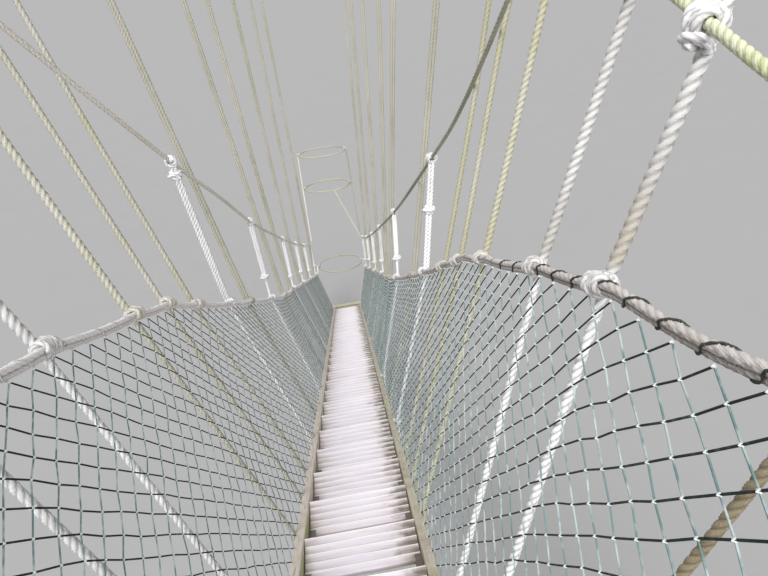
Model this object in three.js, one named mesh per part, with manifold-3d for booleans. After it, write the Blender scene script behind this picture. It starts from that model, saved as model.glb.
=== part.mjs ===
// Stepped rope footbridge: timber treads between two rails, hung in rope slings from two
// high cables, with rope handrails, guard ropes, side nets and end collars.
// Millimetres. +Z is up, +Y runs level along the walkway towards its lower end, +X is right.
// The origin is the middle of the back face of the upper end bearer.
import * as THREE from 'three';
import Module from 'manifold-3d';

const wasm = await Module();
wasm.setup();

// Walkway line
const SLOPE = THREE.MathUtils.degToRad(20);
const DECK_LENGTH = 17360;
const DECK_WIDTH = 700;
const CLEARANCE = 0.5;

// End bearers
const BEARER_THICKNESS = 120;
const BEARER_HEIGHT = 200;
const BEARER_WIDTH = 1100;
const DECK_START = new THREE.Vector3(0, BEARER_THICKNESS + CLEARANCE, 70);

// Rails and treads
const RAIL_WIDTH = 52;
const RAIL_DEPTH = 140;
const TREAD_COUNT = 37;
const TREAD_PITCH = 465;
const FIRST_NOSING = 420;
const TREAD_DEPTH = 270;
const TREAD_THICKNESS = 30;
const NOSING_DROP = 6;
const BATTEN_WIDTH = 35;
const BATTEN_TOP = -85;
const BATTEN_BOTTOM = -135;
const FLIGHT_COUNT = 5;
const FLIGHT_GAP = 2;

// Rope radii
const SLING_RADIUS = 13;
const DOUBLED_SLING_RADIUS = 19;
const HANDRAIL_RADIUS = 20;
const GUARD_RADIUS = 14;
const APPROACH_RADIUS = 16;
const CABLE_RADIUS = 15;
const COLLAR_RADIUS = 14;
const STAY_RADIUS = 8;
const KNOT_RADIUS = 28;
const KNOT_HALF_LENGTH = 60;
const KNOT_GAP = 9;
const KNOT_FLAT_HALF = KNOT_HALF_LENGTH / 3;
const GUARD_CROSSING_GAP = 0.8;
const APPROACH_CROSSING_GAP = 3.3;
const ROPE_SIDES = 8;
const SLING_SIDES = 6;
const GUARD_STEPS = 22;
const APPROACH_STEPS = 14;
const CABLE_STEPS = 26;

// Side nets
const NET_ROWS = 3;
const NET_BAR_HALF_WIDTH = 6;
const NET_THICKNESS = 8;
const NET_FOOT_X = 340;
const NET_FOOT_HEIGHT = 8;
const NET_HEAD_GAP = 2.4;
const NET_HEAD_DROP = HANDRAIL_RADIUS + NET_BAR_HALF_WIDTH + NET_HEAD_GAP;
const NET_HEAD_INSET = 5;

// End collars: rope rings, open in the middle, that stand behind each end bearer
const COLLAR_HOLE_RADIUS = 530;
const COLLAR_STANDOFF = 30;
const COLLAR_SEGMENTS = 24;
const COLLAR_SIDES = 6;

// Finishes
const FINISH = {
  timber: { color: 0x9c8f7c, roughness: 0.85, metalness: 0 },
  tread: { color: 0xc9c1c4, roughness: 0.9, metalness: 0 },
  whiteRope: { color: 0xdedbd0, roughness: 0.8, metalness: 0 },
  oldRope: { color: 0xa8a478, roughness: 0.85, metalness: 0 },
  handRope: { color: 0xb7ada2, roughness: 0.85, metalness: 0 },
  darkRope: { color: 0x7d7a6c, roughness: 0.85, metalness: 0 },
  net: { color: 0x2f4f4a, roughness: 0.8, metalness: 0 },
};

// A point at distance s along the deck line, x to the right and h straight above the deck
function overDeck(x, s, h) {
  return new THREE.Vector3(
    x,
    DECK_START.y + s * Math.cos(SLOPE),
    DECK_START.z - s * Math.sin(SLOPE) + h,
  );
}

// A point in the deck frame, with n square to the deck plane
function onDeck(x, s, n) {
  return new THREE.Vector3(
    x,
    DECK_START.y + s * Math.cos(SLOPE) + n * Math.sin(SLOPE),
    DECK_START.z - s * Math.sin(SLOPE) + n * Math.cos(SLOPE),
  );
}

// Smooth curve of (x, h) through stations [s, x, h], by cubic Hermite pieces
function profile(stations) {
  const last = stations.length - 1;
  const slopeAt = (i, k) => {
    const low = stations[Math.max(i - 1, 0)];
    const high = stations[Math.min(i + 1, last)];
    return (high[k] - low[k]) / (high[0] - low[0]);
  };
  return (s) => {
    let i = 0;
    while (i < last - 1 && s > stations[i + 1][0]) {
      i += 1;
    }
    const width = stations[i + 1][0] - stations[i][0];
    const u = (s - stations[i][0]) / width;
    const blend = (k) =>
      (2 * u ** 3 - 3 * u ** 2 + 1) * stations[i][k] +
      (u ** 3 - 2 * u ** 2 + u) * width * slopeAt(i, k) +
      (3 * u ** 2 - 2 * u ** 3) * stations[i + 1][k] +
      (u ** 3 - u ** 2) * width * slopeAt(i + 1, k);
    return { x: blend(1), h: blend(2) };
  };
}

// Handrail: half spacing and height over the deck, at distances along it
const handrailAt = profile([
  [-300, 590, 1080],
  [1500, 660, 1150],
  [2700, 700, 1230],
  [3700, 735, 1310],
  [4320, 750, 1400],
  [5610, 785, 1430],
  [6100, 785, 1430],
  [6530, 750, 1375],
  [7250, 700, 1300],
  [7980, 690, 1235],
  [8970, 630, 1165],
  [9850, 625, 1110],
  [11600, 640, 1080],
  [14400, 610, 1030],
  [17400, 580, 1000],
  [17700, 575, 1010],
]);

// Guard ropes above the handrails, from the high cables down towards the lower end; the left
// one was tied a little nearer and higher than the right one
const guardAt = {
  left: profile([
    [4000, 1720, 3860],
    [5000, 1360, 3270],
    [6100, 1032, 2706],
    [6700, 897, 2466],
    [7250, 803, 2291],
    [7900, 730, 2156],
    [8970, 680, 1980],
    [11630, 680, 1845],
    [13930, 645, 1765],
    [16730, 620, 1750],
    [17500, 590, 1830],
  ]),
  right: profile([
    [4000, 1720, 3860],
    [5000, 1360, 3270],
    [5770, 1140, 2860],
    [6130, 1088, 2660],
    [6920, 975, 2315],
    [7480, 880, 2150],
    [8970, 742, 1903],
    [11630, 705, 1795],
    [13930, 665, 1725],
    [16730, 625, 1725],
    [17500, 590, 1830],
  ]),
};
const GUARD_START = 4120;
const GUARD_END = 17500;

// High cable: lowest near the middle, splayed out towards the upper end; the right one
// stays farther out at its lower end
const CABLE_START = -300;
const CABLE_END = 17900;
const CABLE_LOW_S = 9930;
const CABLE_LOW_Z = 1640;
const CABLE_CURVE = 2.8e-5;
const CABLE_FAR_X = 620;
const CABLE_SPLAY = 1900;
const CABLE_SPLAY_POWER = 1.8;
const CABLE_DRIFT = 420;
const CABLE_DRIFT_START = 7500;
const CABLE_END_RADIUS = 32;
const CABLE_END_LENGTH = 180;
const CABLE_END_TAPER = 54;

function cablePoint(side, s) {
  const splay = Math.pow(1 - s / CABLE_END, CABLE_SPLAY_POWER);
  const along = Math.max(0, s - CABLE_DRIFT_START) / (CABLE_END - CABLE_DRIFT_START);
  const drift = side > 0 ? CABLE_DRIFT * along : 0;
  return new THREE.Vector3(
    side * (CABLE_FAR_X + CABLE_SPLAY * splay + drift),
    overDeck(0, s, 0).y,
    CABLE_LOW_Z + CABLE_CURVE * (s - CABLE_LOW_S) ** 2,
  );
}

// Approach rope: down from the upper end, low beside the deck, then up to the high cable.
// Half spacing and height over the deck, at distances along it
const APPROACH_START = -350;
const APPROACH_END = 7480;
const approachAt = profile([
  [-350, 508, 2671],
  [600, 563, 1938],
  [1500, 633, 1527],
  [2300, 711, 1377],
  [3000, 790, 1392],
  [3500, 853, 1516],
  [3900, 908, 1706],
  [4320, 969, 1962],
  [4600, 1011, 2134],
  [5000, 1071, 2350],
  [5700, 1176, 2773],
  [6600, 1311, 3475],
  [7480, 1443, 4289],
]);

function approachPoint(side, s) {
  const at = approachAt(s);
  return overDeck(side * at.x, s, at.h);
}

// Sling stations along the deck and what each one is tied to at the top. A sling that leans
// also has its distances at the left and right handrail and at its left and right top. The
// doubled ones are two ropes side by side above the handrails.
const STATIONS = [
  { s: 680, top: 'cable' },
  { s: 1640, top: 'cable' },
  { s: 2640, top: 'cable' },
  { s: 3900, atHand: [3600, 3600], atTop: [3290, 3290], top: 'cable' },
  { s: 4320, atHand: [4230, 4320], top: 'cable', white: true },
  { s: 4730, atHand: [4760, 4860], atTop: [4760, 4880], top: 'cable', white: true },
  { s: 5610, atHand: [5610, 5740], atTop: [5610, 5760], top: 'cable' },
  { s: 6100, atHand: [6100, 6270], atTop: [6100, 6310], top: 'cable' },
  { s: 6530, atHand: [6530, 6640], atTop: [6530, 6660], top: 'cable' },
  { s: 7250, atTop: [7100, 7470], top: 'guard', white: true },
  { s: 7980, top: 'cable', doubled: true },
  { s: 8970, atTop: [8880, 9300], top: 'guard', white: true },
  { s: 10000, top: 'cable', doubled: true },
  { s: 11080, top: 'cable', doubled: true },
  { s: 11630, top: 'guard', white: true },
  { s: 12800, top: 'cable', doubled: true },
  { s: 13430, top: 'guard', white: true },
  { s: 14650, top: 'cable', doubled: true },
  { s: 15230, top: 'guard', white: true },
  { s: 16350, top: 'cable', doubled: true },
  { s: 16980, top: 'guard', white: true },
];

// Handrail sags a little between slings; the nets follow the same stations
const HANDRAIL_SAG = 14;
const HANDRAIL_ENDS = [-250, 17650];

function handrailStations() {
  const ties = STATIONS.map((entry) => entry.atHand?.[0] ?? entry.s);
  const marks = [HANDRAIL_ENDS[0], ...ties, HANDRAIL_ENDS[1]];
  const list = [];
  marks.forEach((mark, index) => {
    list.push({ s: mark, sag: 0 });
    if (index < marks.length - 1) {
      list.push({ s: (mark + marks[index + 1]) / 2, sag: HANDRAIL_SAG });
    }
  });
  return list;
}

function handrailPoint(side, station) {
  const at = handrailAt(station.s);
  return overDeck(side * at.x, station.s, at.h - station.sag);
}

// Mesh helpers
const group = new THREE.Group();

function finishMesh(name, geometry, finish) {
  const mesh = new THREE.Mesh(geometry, new THREE.MeshStandardMaterial(FINISH[finish]));
  mesh.name = name;
  group.add(mesh);
  return mesh;
}

function meshFromLists(vertices, faces) {
  const geometry = new THREE.BufferGeometry();
  geometry.setAttribute('position', new THREE.Float32BufferAttribute(vertices, 3));
  geometry.setIndex(faces);
  geometry.computeVertexNormals();
  return geometry;
}

function toManifold(geometry) {
  const positions = geometry.getAttribute('position');
  return new wasm.Manifold(new wasm.Mesh({
    numProp: 3,
    vertProperties: new Float32Array(positions.array),
    triVerts: new Uint32Array(geometry.getIndex().array),
  }));
}

function fromManifold(solid) {
  const mesh = solid.getMesh();
  return meshFromLists(Array.from(mesh.vertProperties), Array.from(mesh.triVerts));
}

function fuse(geometries) {
  return fromManifold(wasm.Manifold.union(geometries.map(toManifold)));
}

// Box given by its two extreme corners
function boxBetween(low, high) {
  const geometry = new THREE.BufferGeometry();
  const vertices = [];
  for (let corner = 0; corner < 8; corner += 1) {
    vertices.push(corner & 1 ? high.x : low.x);
    vertices.push(corner & 2 ? high.y : low.y);
    vertices.push(corner & 4 ? high.z : low.z);
  }
  const faces = [
    0, 2, 1, 1, 2, 3, 4, 5, 6, 5, 7, 6, 0, 1, 4, 1, 5, 4,
    2, 6, 3, 3, 6, 7, 0, 4, 2, 2, 4, 6, 1, 3, 5, 3, 7, 5,
  ];
  geometry.setAttribute('position', new THREE.Float32BufferAttribute(vertices, 3));
  geometry.setIndex(faces);
  return geometry;
}

// Prism with the given (y, z) outline, counter-clockwise seen from +X, between two x values
function prism(outline, x0, x1) {
  const count = outline.length;
  const vertices = [];
  for (const x of [x0, x1]) {
    outline.forEach((point) => vertices.push(x, point.y, point.z));
  }
  const faces = [];
  for (let i = 0; i < count; i += 1) {
    const next = (i + 1) % count;
    faces.push(i, next, count + next, i, count + next, count + i);
  }
  for (let i = 1; i < count - 1; i += 1) {
    faces.push(0, i + 1, i, count, count + i, count + i + 1);
  }
  return meshFromLists(vertices, faces);
}

// Rope along points, each with its own radius; joints are mitred and both ends are capped
function rope(points, radii, sides) {
  const count = points.length;
  const vertices = [];
  const faces = [];
  const legs = [];
  for (let i = 0; i < count - 1; i += 1) {
    legs.push(points[i + 1].clone().sub(points[i]).normalize());
  }
  const squareTo = (vector, axis) => vector.addScaledVector(axis, -vector.dot(axis)).normalize();
  const seed = Math.abs(legs[0].x) < 0.9 ? new THREE.Vector3(1, 0, 0) : new THREE.Vector3(0, 1, 0);
  const across = squareTo(seed, legs[0]);
  for (let i = 0; i < count; i += 1) {
    const before = legs[Math.max(i - 1, 0)];
    const after = legs[Math.min(i, count - 2)];
    const tangent = before.clone().add(after).normalize();
    squareTo(across, tangent);
    const upward = tangent.clone().cross(across);
    const bend = after.clone().sub(before);
    const stretch = 1 / Math.max(tangent.dot(after), 0.5) - 1;
    const bendAxis = bend.length() > 1e-6 ? bend.normalize() : null;
    for (let k = 0; k < sides; k += 1) {
      const angle = (2 * Math.PI * k) / sides;
      const offset = across.clone().multiplyScalar(Math.cos(angle) * radii[i]);
      offset.addScaledVector(upward, Math.sin(angle) * radii[i]);
      if (bendAxis) {
        offset.addScaledVector(bendAxis, offset.dot(bendAxis) * stretch);
      }
      vertices.push(points[i].x + offset.x, points[i].y + offset.y, points[i].z + offset.z);
    }
    squareTo(across, after);
  }
  for (let i = 0; i < count - 1; i += 1) {
    for (let k = 0; k < sides; k += 1) {
      const a = i * sides + k;
      const b = i * sides + ((k + 1) % sides);
      faces.push(a, b, b + sides, a, b + sides, a + sides);
    }
  }
  const tail = (count - 1) * sides;
  for (let k = 1; k < sides - 1; k += 1) {
    faces.push(0, k + 1, k, tail, tail + k, tail + k + 1);
  }
  return meshFromLists(vertices, faces);
}

function evenRope(points, radius, sides = ROPE_SIDES) {
  return rope(points, points.map(() => radius), sides);
}

// Closed rope ring lying level round a centre
function ring(centre, ringRadius, ropeRadius, segments, sides) {
  const vertices = [];
  const faces = [];
  for (let i = 0; i < segments; i += 1) {
    const turn = (2 * Math.PI * i) / segments;
    for (let k = 0; k < sides; k += 1) {
      const angle = (2 * Math.PI * k) / sides;
      const reach = ringRadius + ropeRadius * Math.cos(angle);
      vertices.push(
        centre.x + reach * Math.cos(turn),
        centre.y + reach * Math.sin(turn),
        centre.z + ropeRadius * Math.sin(angle),
      );
      const a = i * sides + k;
      const b = i * sides + ((k + 1) % sides);
      const c = ((i + 1) % segments) * sides + ((k + 1) % sides);
      const d = ((i + 1) % segments) * sides + k;
      faces.push(a, d, c, a, c, b);
    }
  }
  return meshFromLists(vertices, faces);
}

// End bearers
const deckEnd = onDeck(0, DECK_LENGTH, 0);
const lowerBearerFront = deckEnd.y + CLEARANCE;
finishMesh('upper_bearer', boxBetween(
  new THREE.Vector3(-BEARER_WIDTH / 2, 0, -BEARER_HEIGHT / 2),
  new THREE.Vector3(BEARER_WIDTH / 2, BEARER_THICKNESS, BEARER_HEIGHT / 2),
), 'timber');
finishMesh('lower_bearer', boxBetween(
  new THREE.Vector3(-BEARER_WIDTH / 2, lowerBearerFront, deckEnd.z - DECK_START.z - BEARER_HEIGHT / 2),
  new THREE.Vector3(
    BEARER_WIDTH / 2,
    lowerBearerFront + BEARER_THICKNESS,
    deckEnd.z - DECK_START.z + BEARER_HEIGHT / 2,
  ),
), 'timber');

// Rails, cut upright at both ends to meet the bearers
const railOuter = DECK_WIDTH / 2;
const railInner = railOuter - RAIL_WIDTH;
const railDrop = RAIL_DEPTH / Math.cos(SLOPE);
const railOutline = [
  { y: DECK_START.y, z: DECK_START.z - railDrop },
  { y: deckEnd.y, z: deckEnd.z - railDrop },
  { y: deckEnd.y, z: deckEnd.z },
  { y: DECK_START.y, z: DECK_START.z },
];
finishMesh('rail_left', prism(railOutline, -railOuter, -railInner), 'timber');
finishMesh('rail_right', prism(railOutline, railInner, railOuter), 'timber');

// Treads, in flights that share two battens
const treadReach = railInner - CLEARANCE;
const perFlight = Math.ceil(TREAD_COUNT / FLIGHT_COUNT);
for (let flight = 0; flight < FLIGHT_COUNT; flight += 1) {
  const first = flight * perFlight;
  const end = Math.min(first + perFlight, TREAD_COUNT);
  const pieces = [];
  for (let i = first; i < end; i += 1) {
    const nosing = onDeck(0, FIRST_NOSING + i * TREAD_PITCH, -NOSING_DROP);
    pieces.push(boxBetween(
      new THREE.Vector3(-treadReach, nosing.y - TREAD_DEPTH, nosing.z - TREAD_THICKNESS),
      new THREE.Vector3(treadReach, nosing.y, nosing.z),
    ));
  }
  const battenStart = FIRST_NOSING + first * TREAD_PITCH - TREAD_DEPTH;
  const battenEnd = FIRST_NOSING + (end - 1) * TREAD_PITCH + TREAD_PITCH - TREAD_DEPTH - FLIGHT_GAP;
  const battenOutline = [
    onDeck(0, battenStart, BATTEN_BOTTOM),
    onDeck(0, battenEnd, BATTEN_BOTTOM),
    onDeck(0, battenEnd, BATTEN_TOP),
    onDeck(0, battenStart, BATTEN_TOP),
  ];
  pieces.push(prism(battenOutline, -treadReach, -treadReach + BATTEN_WIDTH));
  pieces.push(prism(battenOutline, treadReach - BATTEN_WIDTH, treadReach));
  finishMesh(`tread_flight_${flight + 1}`, fuse(pieces), 'tread');
}

// Ropes that run the length of the bridge, one of each per side
const SIDES = [{ name: 'left', sign: -1 }, { name: 'right', sign: 1 }];
const upperRingY = -COLLAR_HOLE_RADIUS - COLLAR_STANDOFF;
const lowerRingY = lowerBearerFront + BEARER_THICKNESS + COLLAR_HOLE_RADIUS + COLLAR_STANDOFF;
const collarReach = COLLAR_HOLE_RADIUS + COLLAR_RADIUS;
const GUARD_COLLAR_Z = deckEnd.z + 3750;
const LOWER_COLLAR_Z = deckEnd.z + 2940;

// A point level with a collar and just clear of its outside, turned from +X about the ring
function besideCollar(side, ringY, z, ropeRadius, turnDegrees = 0) {
  const reach = collarReach + COLLAR_RADIUS + ropeRadius + CLEARANCE;
  const turn = THREE.MathUtils.degToRad(turnDegrees);
  return new THREE.Vector3(side * reach * Math.cos(turn), ringY + reach * Math.sin(turn), z);
}

const APPROACH_TURN = 15;
const STAY_TURN = -75;
const STAY_HEAD_NIP = 2;
const STAY_FOOT_S = 17100;
const STAY_FOOT_GAP = 0.6;

// The thickened seizing at the end of a high cable: its two ends and where it thins again
function splitLeg(end, next) {
  const leg = next.clone().sub(end).normalize();
  return [0, CABLE_END_LENGTH, CABLE_END_LENGTH + CABLE_END_TAPER]
    .map((t) => end.clone().addScaledVector(leg, t));
}

function steps(start, end, count) {
  return Array.from({ length: count + 1 }, (_, i) => start + ((end - start) * i) / count);
}

const handEnds = HANDRAIL_ENDS.map((s) => handrailPoint(1, { s, sag: 0 }));

for (const side of SIDES) {
  const railLine = [
    besideCollar(side.sign, upperRingY, handEnds[0].z, HANDRAIL_RADIUS),
    ...handrailStations().map((station) => handrailPoint(side.sign, station)),
    besideCollar(side.sign, lowerRingY, handEnds[1].z, HANDRAIL_RADIUS),
  ];
  finishMesh(`handrail_${side.name}`, evenRope(railLine, HANDRAIL_RADIUS), 'handRope');

  const guardLine = steps(GUARD_START, GUARD_END, GUARD_STEPS).map((s) => {
    const at = guardAt[side.name](s);
    return overDeck(side.sign * at.x, s, at.h);
  });
  guardLine.push(besideCollar(side.sign, lowerRingY, GUARD_COLLAR_Z, GUARD_RADIUS));
  finishMesh(`guard_rope_${side.name}`, evenRope(guardLine, GUARD_RADIUS), 'darkRope');

  const approachLine = steps(APPROACH_START, APPROACH_END, APPROACH_STEPS)
    .map((s) => approachPoint(side.sign, s));
  approachLine.unshift(besideCollar(
    side.sign, upperRingY, approachLine[0].z, APPROACH_RADIUS, APPROACH_TURN));
  finishMesh(`approach_rope_${side.name}`, evenRope(approachLine, APPROACH_RADIUS), 'oldRope');

  const cableLine = steps(CABLE_START, CABLE_END, CABLE_STEPS).map((s) => cablePoint(side.sign, s));
  const cable = [
    ...splitLeg(cableLine[0], cableLine[1]),
    ...cableLine.slice(1, -1),
    ...splitLeg(cableLine[cableLine.length - 1], cableLine[cableLine.length - 2]).reverse(),
  ];
  const radii = [
    CABLE_END_RADIUS, CABLE_END_RADIUS, CABLE_RADIUS,
    ...cableLine.slice(1, -1).map(() => CABLE_RADIUS),
    CABLE_RADIUS, CABLE_END_RADIUS, CABLE_END_RADIUS,
  ];
  finishMesh(`high_cable_${side.name}`, rope(cable, radii, ROPE_SIDES), 'darkRope');
}

// Stay from the lower stay collar down to the right guard rope
const stayFoot = guardAt.right(STAY_FOOT_S);
finishMesh('lower_stay', evenRope([
  besideCollar(1, lowerRingY, LOWER_COLLAR_Z, STAY_RADIUS - STAY_HEAD_NIP, STAY_TURN),
  overDeck(stayFoot.x - GUARD_RADIUS - STAY_RADIUS - STAY_FOOT_GAP, STAY_FOOT_S, stayFoot.h),
], STAY_RADIUS), 'oldRope');

// Slings: one rope down one side, under both rails and up the other side
const UNDER_DROP = railDrop + (SLING_RADIUS + CLEARANCE) / Math.cos(SLOPE);
const RAIL_SIDE_X = railOuter + SLING_RADIUS + CLEARANCE;
const KNOT_OFFSET = HANDRAIL_RADIUS + KNOT_RADIUS + KNOT_GAP;
const GUARD_TIE_SPREAD = 0.5;
const GUARD_TIE_SLOPE = Math.tan(SLOPE) + GUARD_TIE_SPREAD;
const TOP_GAP = 0.8;
const CROSSING_FREE_TOP = 240;
const CROSSING_PASSES = 4;

// The swelling under what a sling hangs from: distances down from its end, and radii
const TOP_TIE = [
  { t: 120, r: SLING_RADIUS },
  { t: 78, r: KNOT_RADIUS },
  { t: 36, r: KNOT_RADIUS },
  { t: 0, r: SLING_RADIUS },
];

// Moves x sideways where it would be nearer than gap to a rope that it crosses
function keepClear(x, crossing, gap) {
  const offset = x - crossing;
  if (Math.abs(offset) >= gap) {
    return x;
  }
  return crossing + (offset < 0 ? -gap : gap);
}

// Height of a high cable or approach rope over the deck line, where it passes distance s
function heightOver(point, s) {
  return point.z - overDeck(0, s, 0).z;
}

// One side of a sling, as points (x, s, h) over the deck with a radius each
function slingHalf(entry, sideName) {
  const sideIndex = sideName === 'right' ? 1 : 0;
  const upperRadius = entry.doubled ? DOUBLED_SLING_RADIUS : SLING_RADIUS;
  const handS = entry.atHand?.[sideIndex] ?? entry.s;
  const topS = entry.atTop?.[sideIndex] ?? entry.s;
  const hand = handrailAt(handS);
  const start = new THREE.Vector3(hand.x + KNOT_OFFSET, handS, hand.h);
  const guard = guardAt[sideName](topS);
  const cable = cablePoint(sideName === 'right' ? 1 : -1, topS);
  const toCable = entry.top === 'cable';
  const slope = toCable
    ? 2 * CABLE_CURVE * Math.abs(topS - CABLE_LOW_S) / Math.cos(SLOPE)
    : GUARD_TIE_SLOPE;
  const topRadius = toCable ? CABLE_RADIUS : GUARD_RADIUS;
  const under = topRadius * Math.hypot(1, slope) + SLING_RADIUS * slope + TOP_GAP;
  const top = toCable
    ? new THREE.Vector3(Math.abs(cable.x), topS, heightOver(cable, topS) - under)
    : new THREE.Vector3(guard.x, topS, guard.h - under);
  const alongRise = (h) => start.clone().lerp(top, (h - start.z) / (top.z - start.z));
  const list = [
    { at: new THREE.Vector3(RAIL_SIDE_X, entry.s, -UNDER_DROP), r: SLING_RADIUS },
    { at: new THREE.Vector3(RAIL_SIDE_X, entry.s, SLING_RADIUS), r: SLING_RADIUS },
  ];
  const lean = start.clone().sub(list[1].at).normalize();
  const rise = top.clone().sub(start).normalize();
  const knot = [
    { t: -KNOT_HALF_LENGTH, r: SLING_RADIUS },
    { t: -KNOT_FLAT_HALF, r: KNOT_RADIUS },
    { t: KNOT_FLAT_HALF, r: KNOT_RADIUS },
    { t: KNOT_HALF_LENGTH, r: upperRadius },
  ];
  for (const step of knot) {
    const line = step.t < 0 ? lean : rise;
    list.push({ at: start.clone().addScaledVector(line, step.t), r: step.r });
  }
  if (toCable) {
    const crossings = [];
    if (entry.s > GUARD_START && entry.s < GUARD_END) {
      const gap = GUARD_RADIUS + upperRadius + GUARD_CROSSING_GAP;
      crossings.push({ x: guard.x, h: guard.h, gap });
    }
    if (entry.s < APPROACH_END) {
      let s = handS;
      for (let pass = 0; pass < CROSSING_PASSES; pass += 1) {
        s = alongRise(heightOver(approachPoint(1, s), s)).y;
      }
      const approach = approachPoint(1, s);
      const gap = APPROACH_RADIUS + upperRadius + APPROACH_CROSSING_GAP;
      crossings.push({ x: approach.x, h: heightOver(approach, s), gap });
    }
    crossings.sort((a, b) => a.h - b.h);
    for (const crossing of crossings) {
      if (crossing.h < top.z - CROSSING_FREE_TOP) {
        const at = alongRise(crossing.h);
        at.x = keepClear(at.x, crossing.x, crossing.gap);
        list.push({ at, r: upperRadius });
      }
    }
  }
  const fall = top.clone().sub(list[list.length - 1].at).normalize();
  for (const step of TOP_TIE) {
    const r = step.t === TOP_TIE[0].t ? upperRadius : step.r;
    list.push({ at: top.clone().addScaledVector(fall, -step.t), r });
  }
  return list;
}

STATIONS.forEach((entry, index) => {
  const right = slingHalf(entry, 'right');
  const left = slingHalf(entry, 'left').reverse();
  const all = [
    ...left.map((item) => ({ point: overDeck(-item.at.x, item.at.y, item.at.z), r: item.r })),
    ...right.map((item) => ({ point: overDeck(item.at.x, item.at.y, item.at.z), r: item.r })),
  ];
  const label = String(index + 1).padStart(2, '0');
  finishMesh(`sling_${label}`, rope(
    all.map((item) => item.point),
    all.map((item) => item.r),
    SLING_SIDES,
  ), entry.white ? 'whiteRope' : 'oldRope');
});

// Side nets: perforated sheets between rail and handrail
function netPoint(sign, station, v) {
  const foot = overDeck(sign * NET_FOOT_X, station.s, NET_FOOT_HEIGHT);
  const at = handrailAt(station.s);
  const head = overDeck(
    sign * (at.x - NET_HEAD_INSET), station.s, at.h - station.sag - NET_HEAD_DROP);
  return foot.lerp(head, v);
}

function netPanel(sign, stations) {
  const columns = stations.length;
  const grid = [];
  for (let i = 0; i < columns; i += 1) {
    for (const edge of [-1, 1]) {
      const beside = stations[Math.min(Math.max(i + edge, 0), columns - 1)];
      const here = stations[i];
      const column = [];
      for (let j = 0; j <= NET_ROWS; j += 1) {
        for (const lift of [-1, 1]) {
          const height = handrailAt(here.s).h;
          const v = j / NET_ROWS + (lift * NET_BAR_HALF_WIDTH) / height;
          const base = netPoint(sign, here, v);
          const other = beside === here
            ? base.clone().add(overDeck(0, edge, 0).sub(overDeck(0, 0, 0)))
            : netPoint(sign, beside, v);
          const direction = other.sub(base).normalize();
          column.push(base.addScaledVector(direction, NET_BAR_HALF_WIDTH));
        }
      }
      grid.push(column);
    }
  }
  const wide = grid.length;
  const tall = grid[0].length;
  const vertices = [];
  const face = new THREE.Vector3();
  for (let layer = 0; layer < 2; layer += 1) {
    for (let a = 0; a < wide; a += 1) {
      for (let b = 0; b < tall; b += 1) {
        const alongS = grid[Math.min(a + 1, wide - 1)][b].clone().sub(grid[Math.max(a - 1, 0)][b]);
        const upV = grid[a][Math.min(b + 1, tall - 1)].clone().sub(grid[a][Math.max(b - 1, 0)]);
        face.crossVectors(alongS, upV).normalize();
        const shift = layer === 0 ? -NET_THICKNESS / 2 : NET_THICKNESS / 2;
        const point = grid[a][b].clone().addScaledVector(face, shift);
        vertices.push(point.x, point.y, point.z);
      }
    }
  }
  const at = (layer, a, b) => layer * wide * tall + a * tall + b;
  const solid = (a, b) =>
    a >= 0 && b >= 0 && a < wide - 1 && b < tall - 1 && !(a % 2 === 1 && b % 2 === 1);
  const faces = [];
  const quad = (p, q, r, t) => faces.push(p, q, r, p, r, t);
  for (let a = 0; a < wide - 1; a += 1) {
    for (let b = 0; b < tall - 1; b += 1) {
      if (!solid(a, b)) {
        continue;
      }
      quad(at(1, a, b), at(1, a + 1, b), at(1, a + 1, b + 1), at(1, a, b + 1));
      quad(at(0, a, b), at(0, a, b + 1), at(0, a + 1, b + 1), at(0, a + 1, b));
      if (!solid(a - 1, b)) {
        quad(at(0, a, b), at(1, a, b), at(1, a, b + 1), at(0, a, b + 1));
      }
      if (!solid(a + 1, b)) {
        quad(at(1, a + 1, b), at(0, a + 1, b), at(0, a + 1, b + 1), at(1, a + 1, b + 1));
      }
      if (!solid(a, b - 1)) {
        quad(at(1, a, b), at(0, a, b), at(0, a + 1, b), at(1, a + 1, b));
      }
      if (!solid(a, b + 1)) {
        quad(at(0, a, b + 1), at(1, a, b + 1), at(1, a + 1, b + 1), at(0, a + 1, b + 1));
      }
    }
  }
  return meshFromLists(vertices, faces);
}

const NET_INSET = 150;
const netStations = handrailStations()
  .filter((station) => station.s > NET_INSET && station.s < DECK_LENGTH - NET_INSET);
const netMiddle = Math.floor(netStations.length / 2);
const NET_JOIN_GAP = 1;
for (const side of SIDES) {
  const upper = netStations.slice(0, netMiddle + 1);
  const lower = netStations.slice(netMiddle);
  const shifted = lower.map((station, i) => (
    i === 0 ? { s: station.s + 2 * NET_BAR_HALF_WIDTH + NET_JOIN_GAP, sag: station.sag } : station));
  finishMesh(`net_${side.name}_upper`, netPanel(side.sign, upper), 'net');
  finishMesh(`net_${side.name}_lower`, netPanel(side.sign, shifted), 'net');
}

// End collars that the handrails, approach ropes, guard ropes and stay are tied to
const collars = [
  { name: 'upper_handrail_collar', y: upperRingY, z: handEnds[0].z },
  { name: 'upper_approach_collar', y: upperRingY, z: approachPoint(1, APPROACH_START).z },
  { name: 'lower_handrail_collar', y: lowerRingY, z: handEnds[1].z },
  { name: 'lower_guard_collar', y: lowerRingY, z: GUARD_COLLAR_Z },
  { name: 'lower_stay_collar', y: lowerRingY, z: LOWER_COLLAR_Z },
];
for (const collar of collars) {
  const centre = new THREE.Vector3(0, collar.y, collar.z);
  const geometry = ring(centre, collarReach, COLLAR_RADIUS, COLLAR_SEGMENTS, COLLAR_SIDES);
  finishMesh(collar.name, geometry, 'oldRope');
}

export default group;
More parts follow.
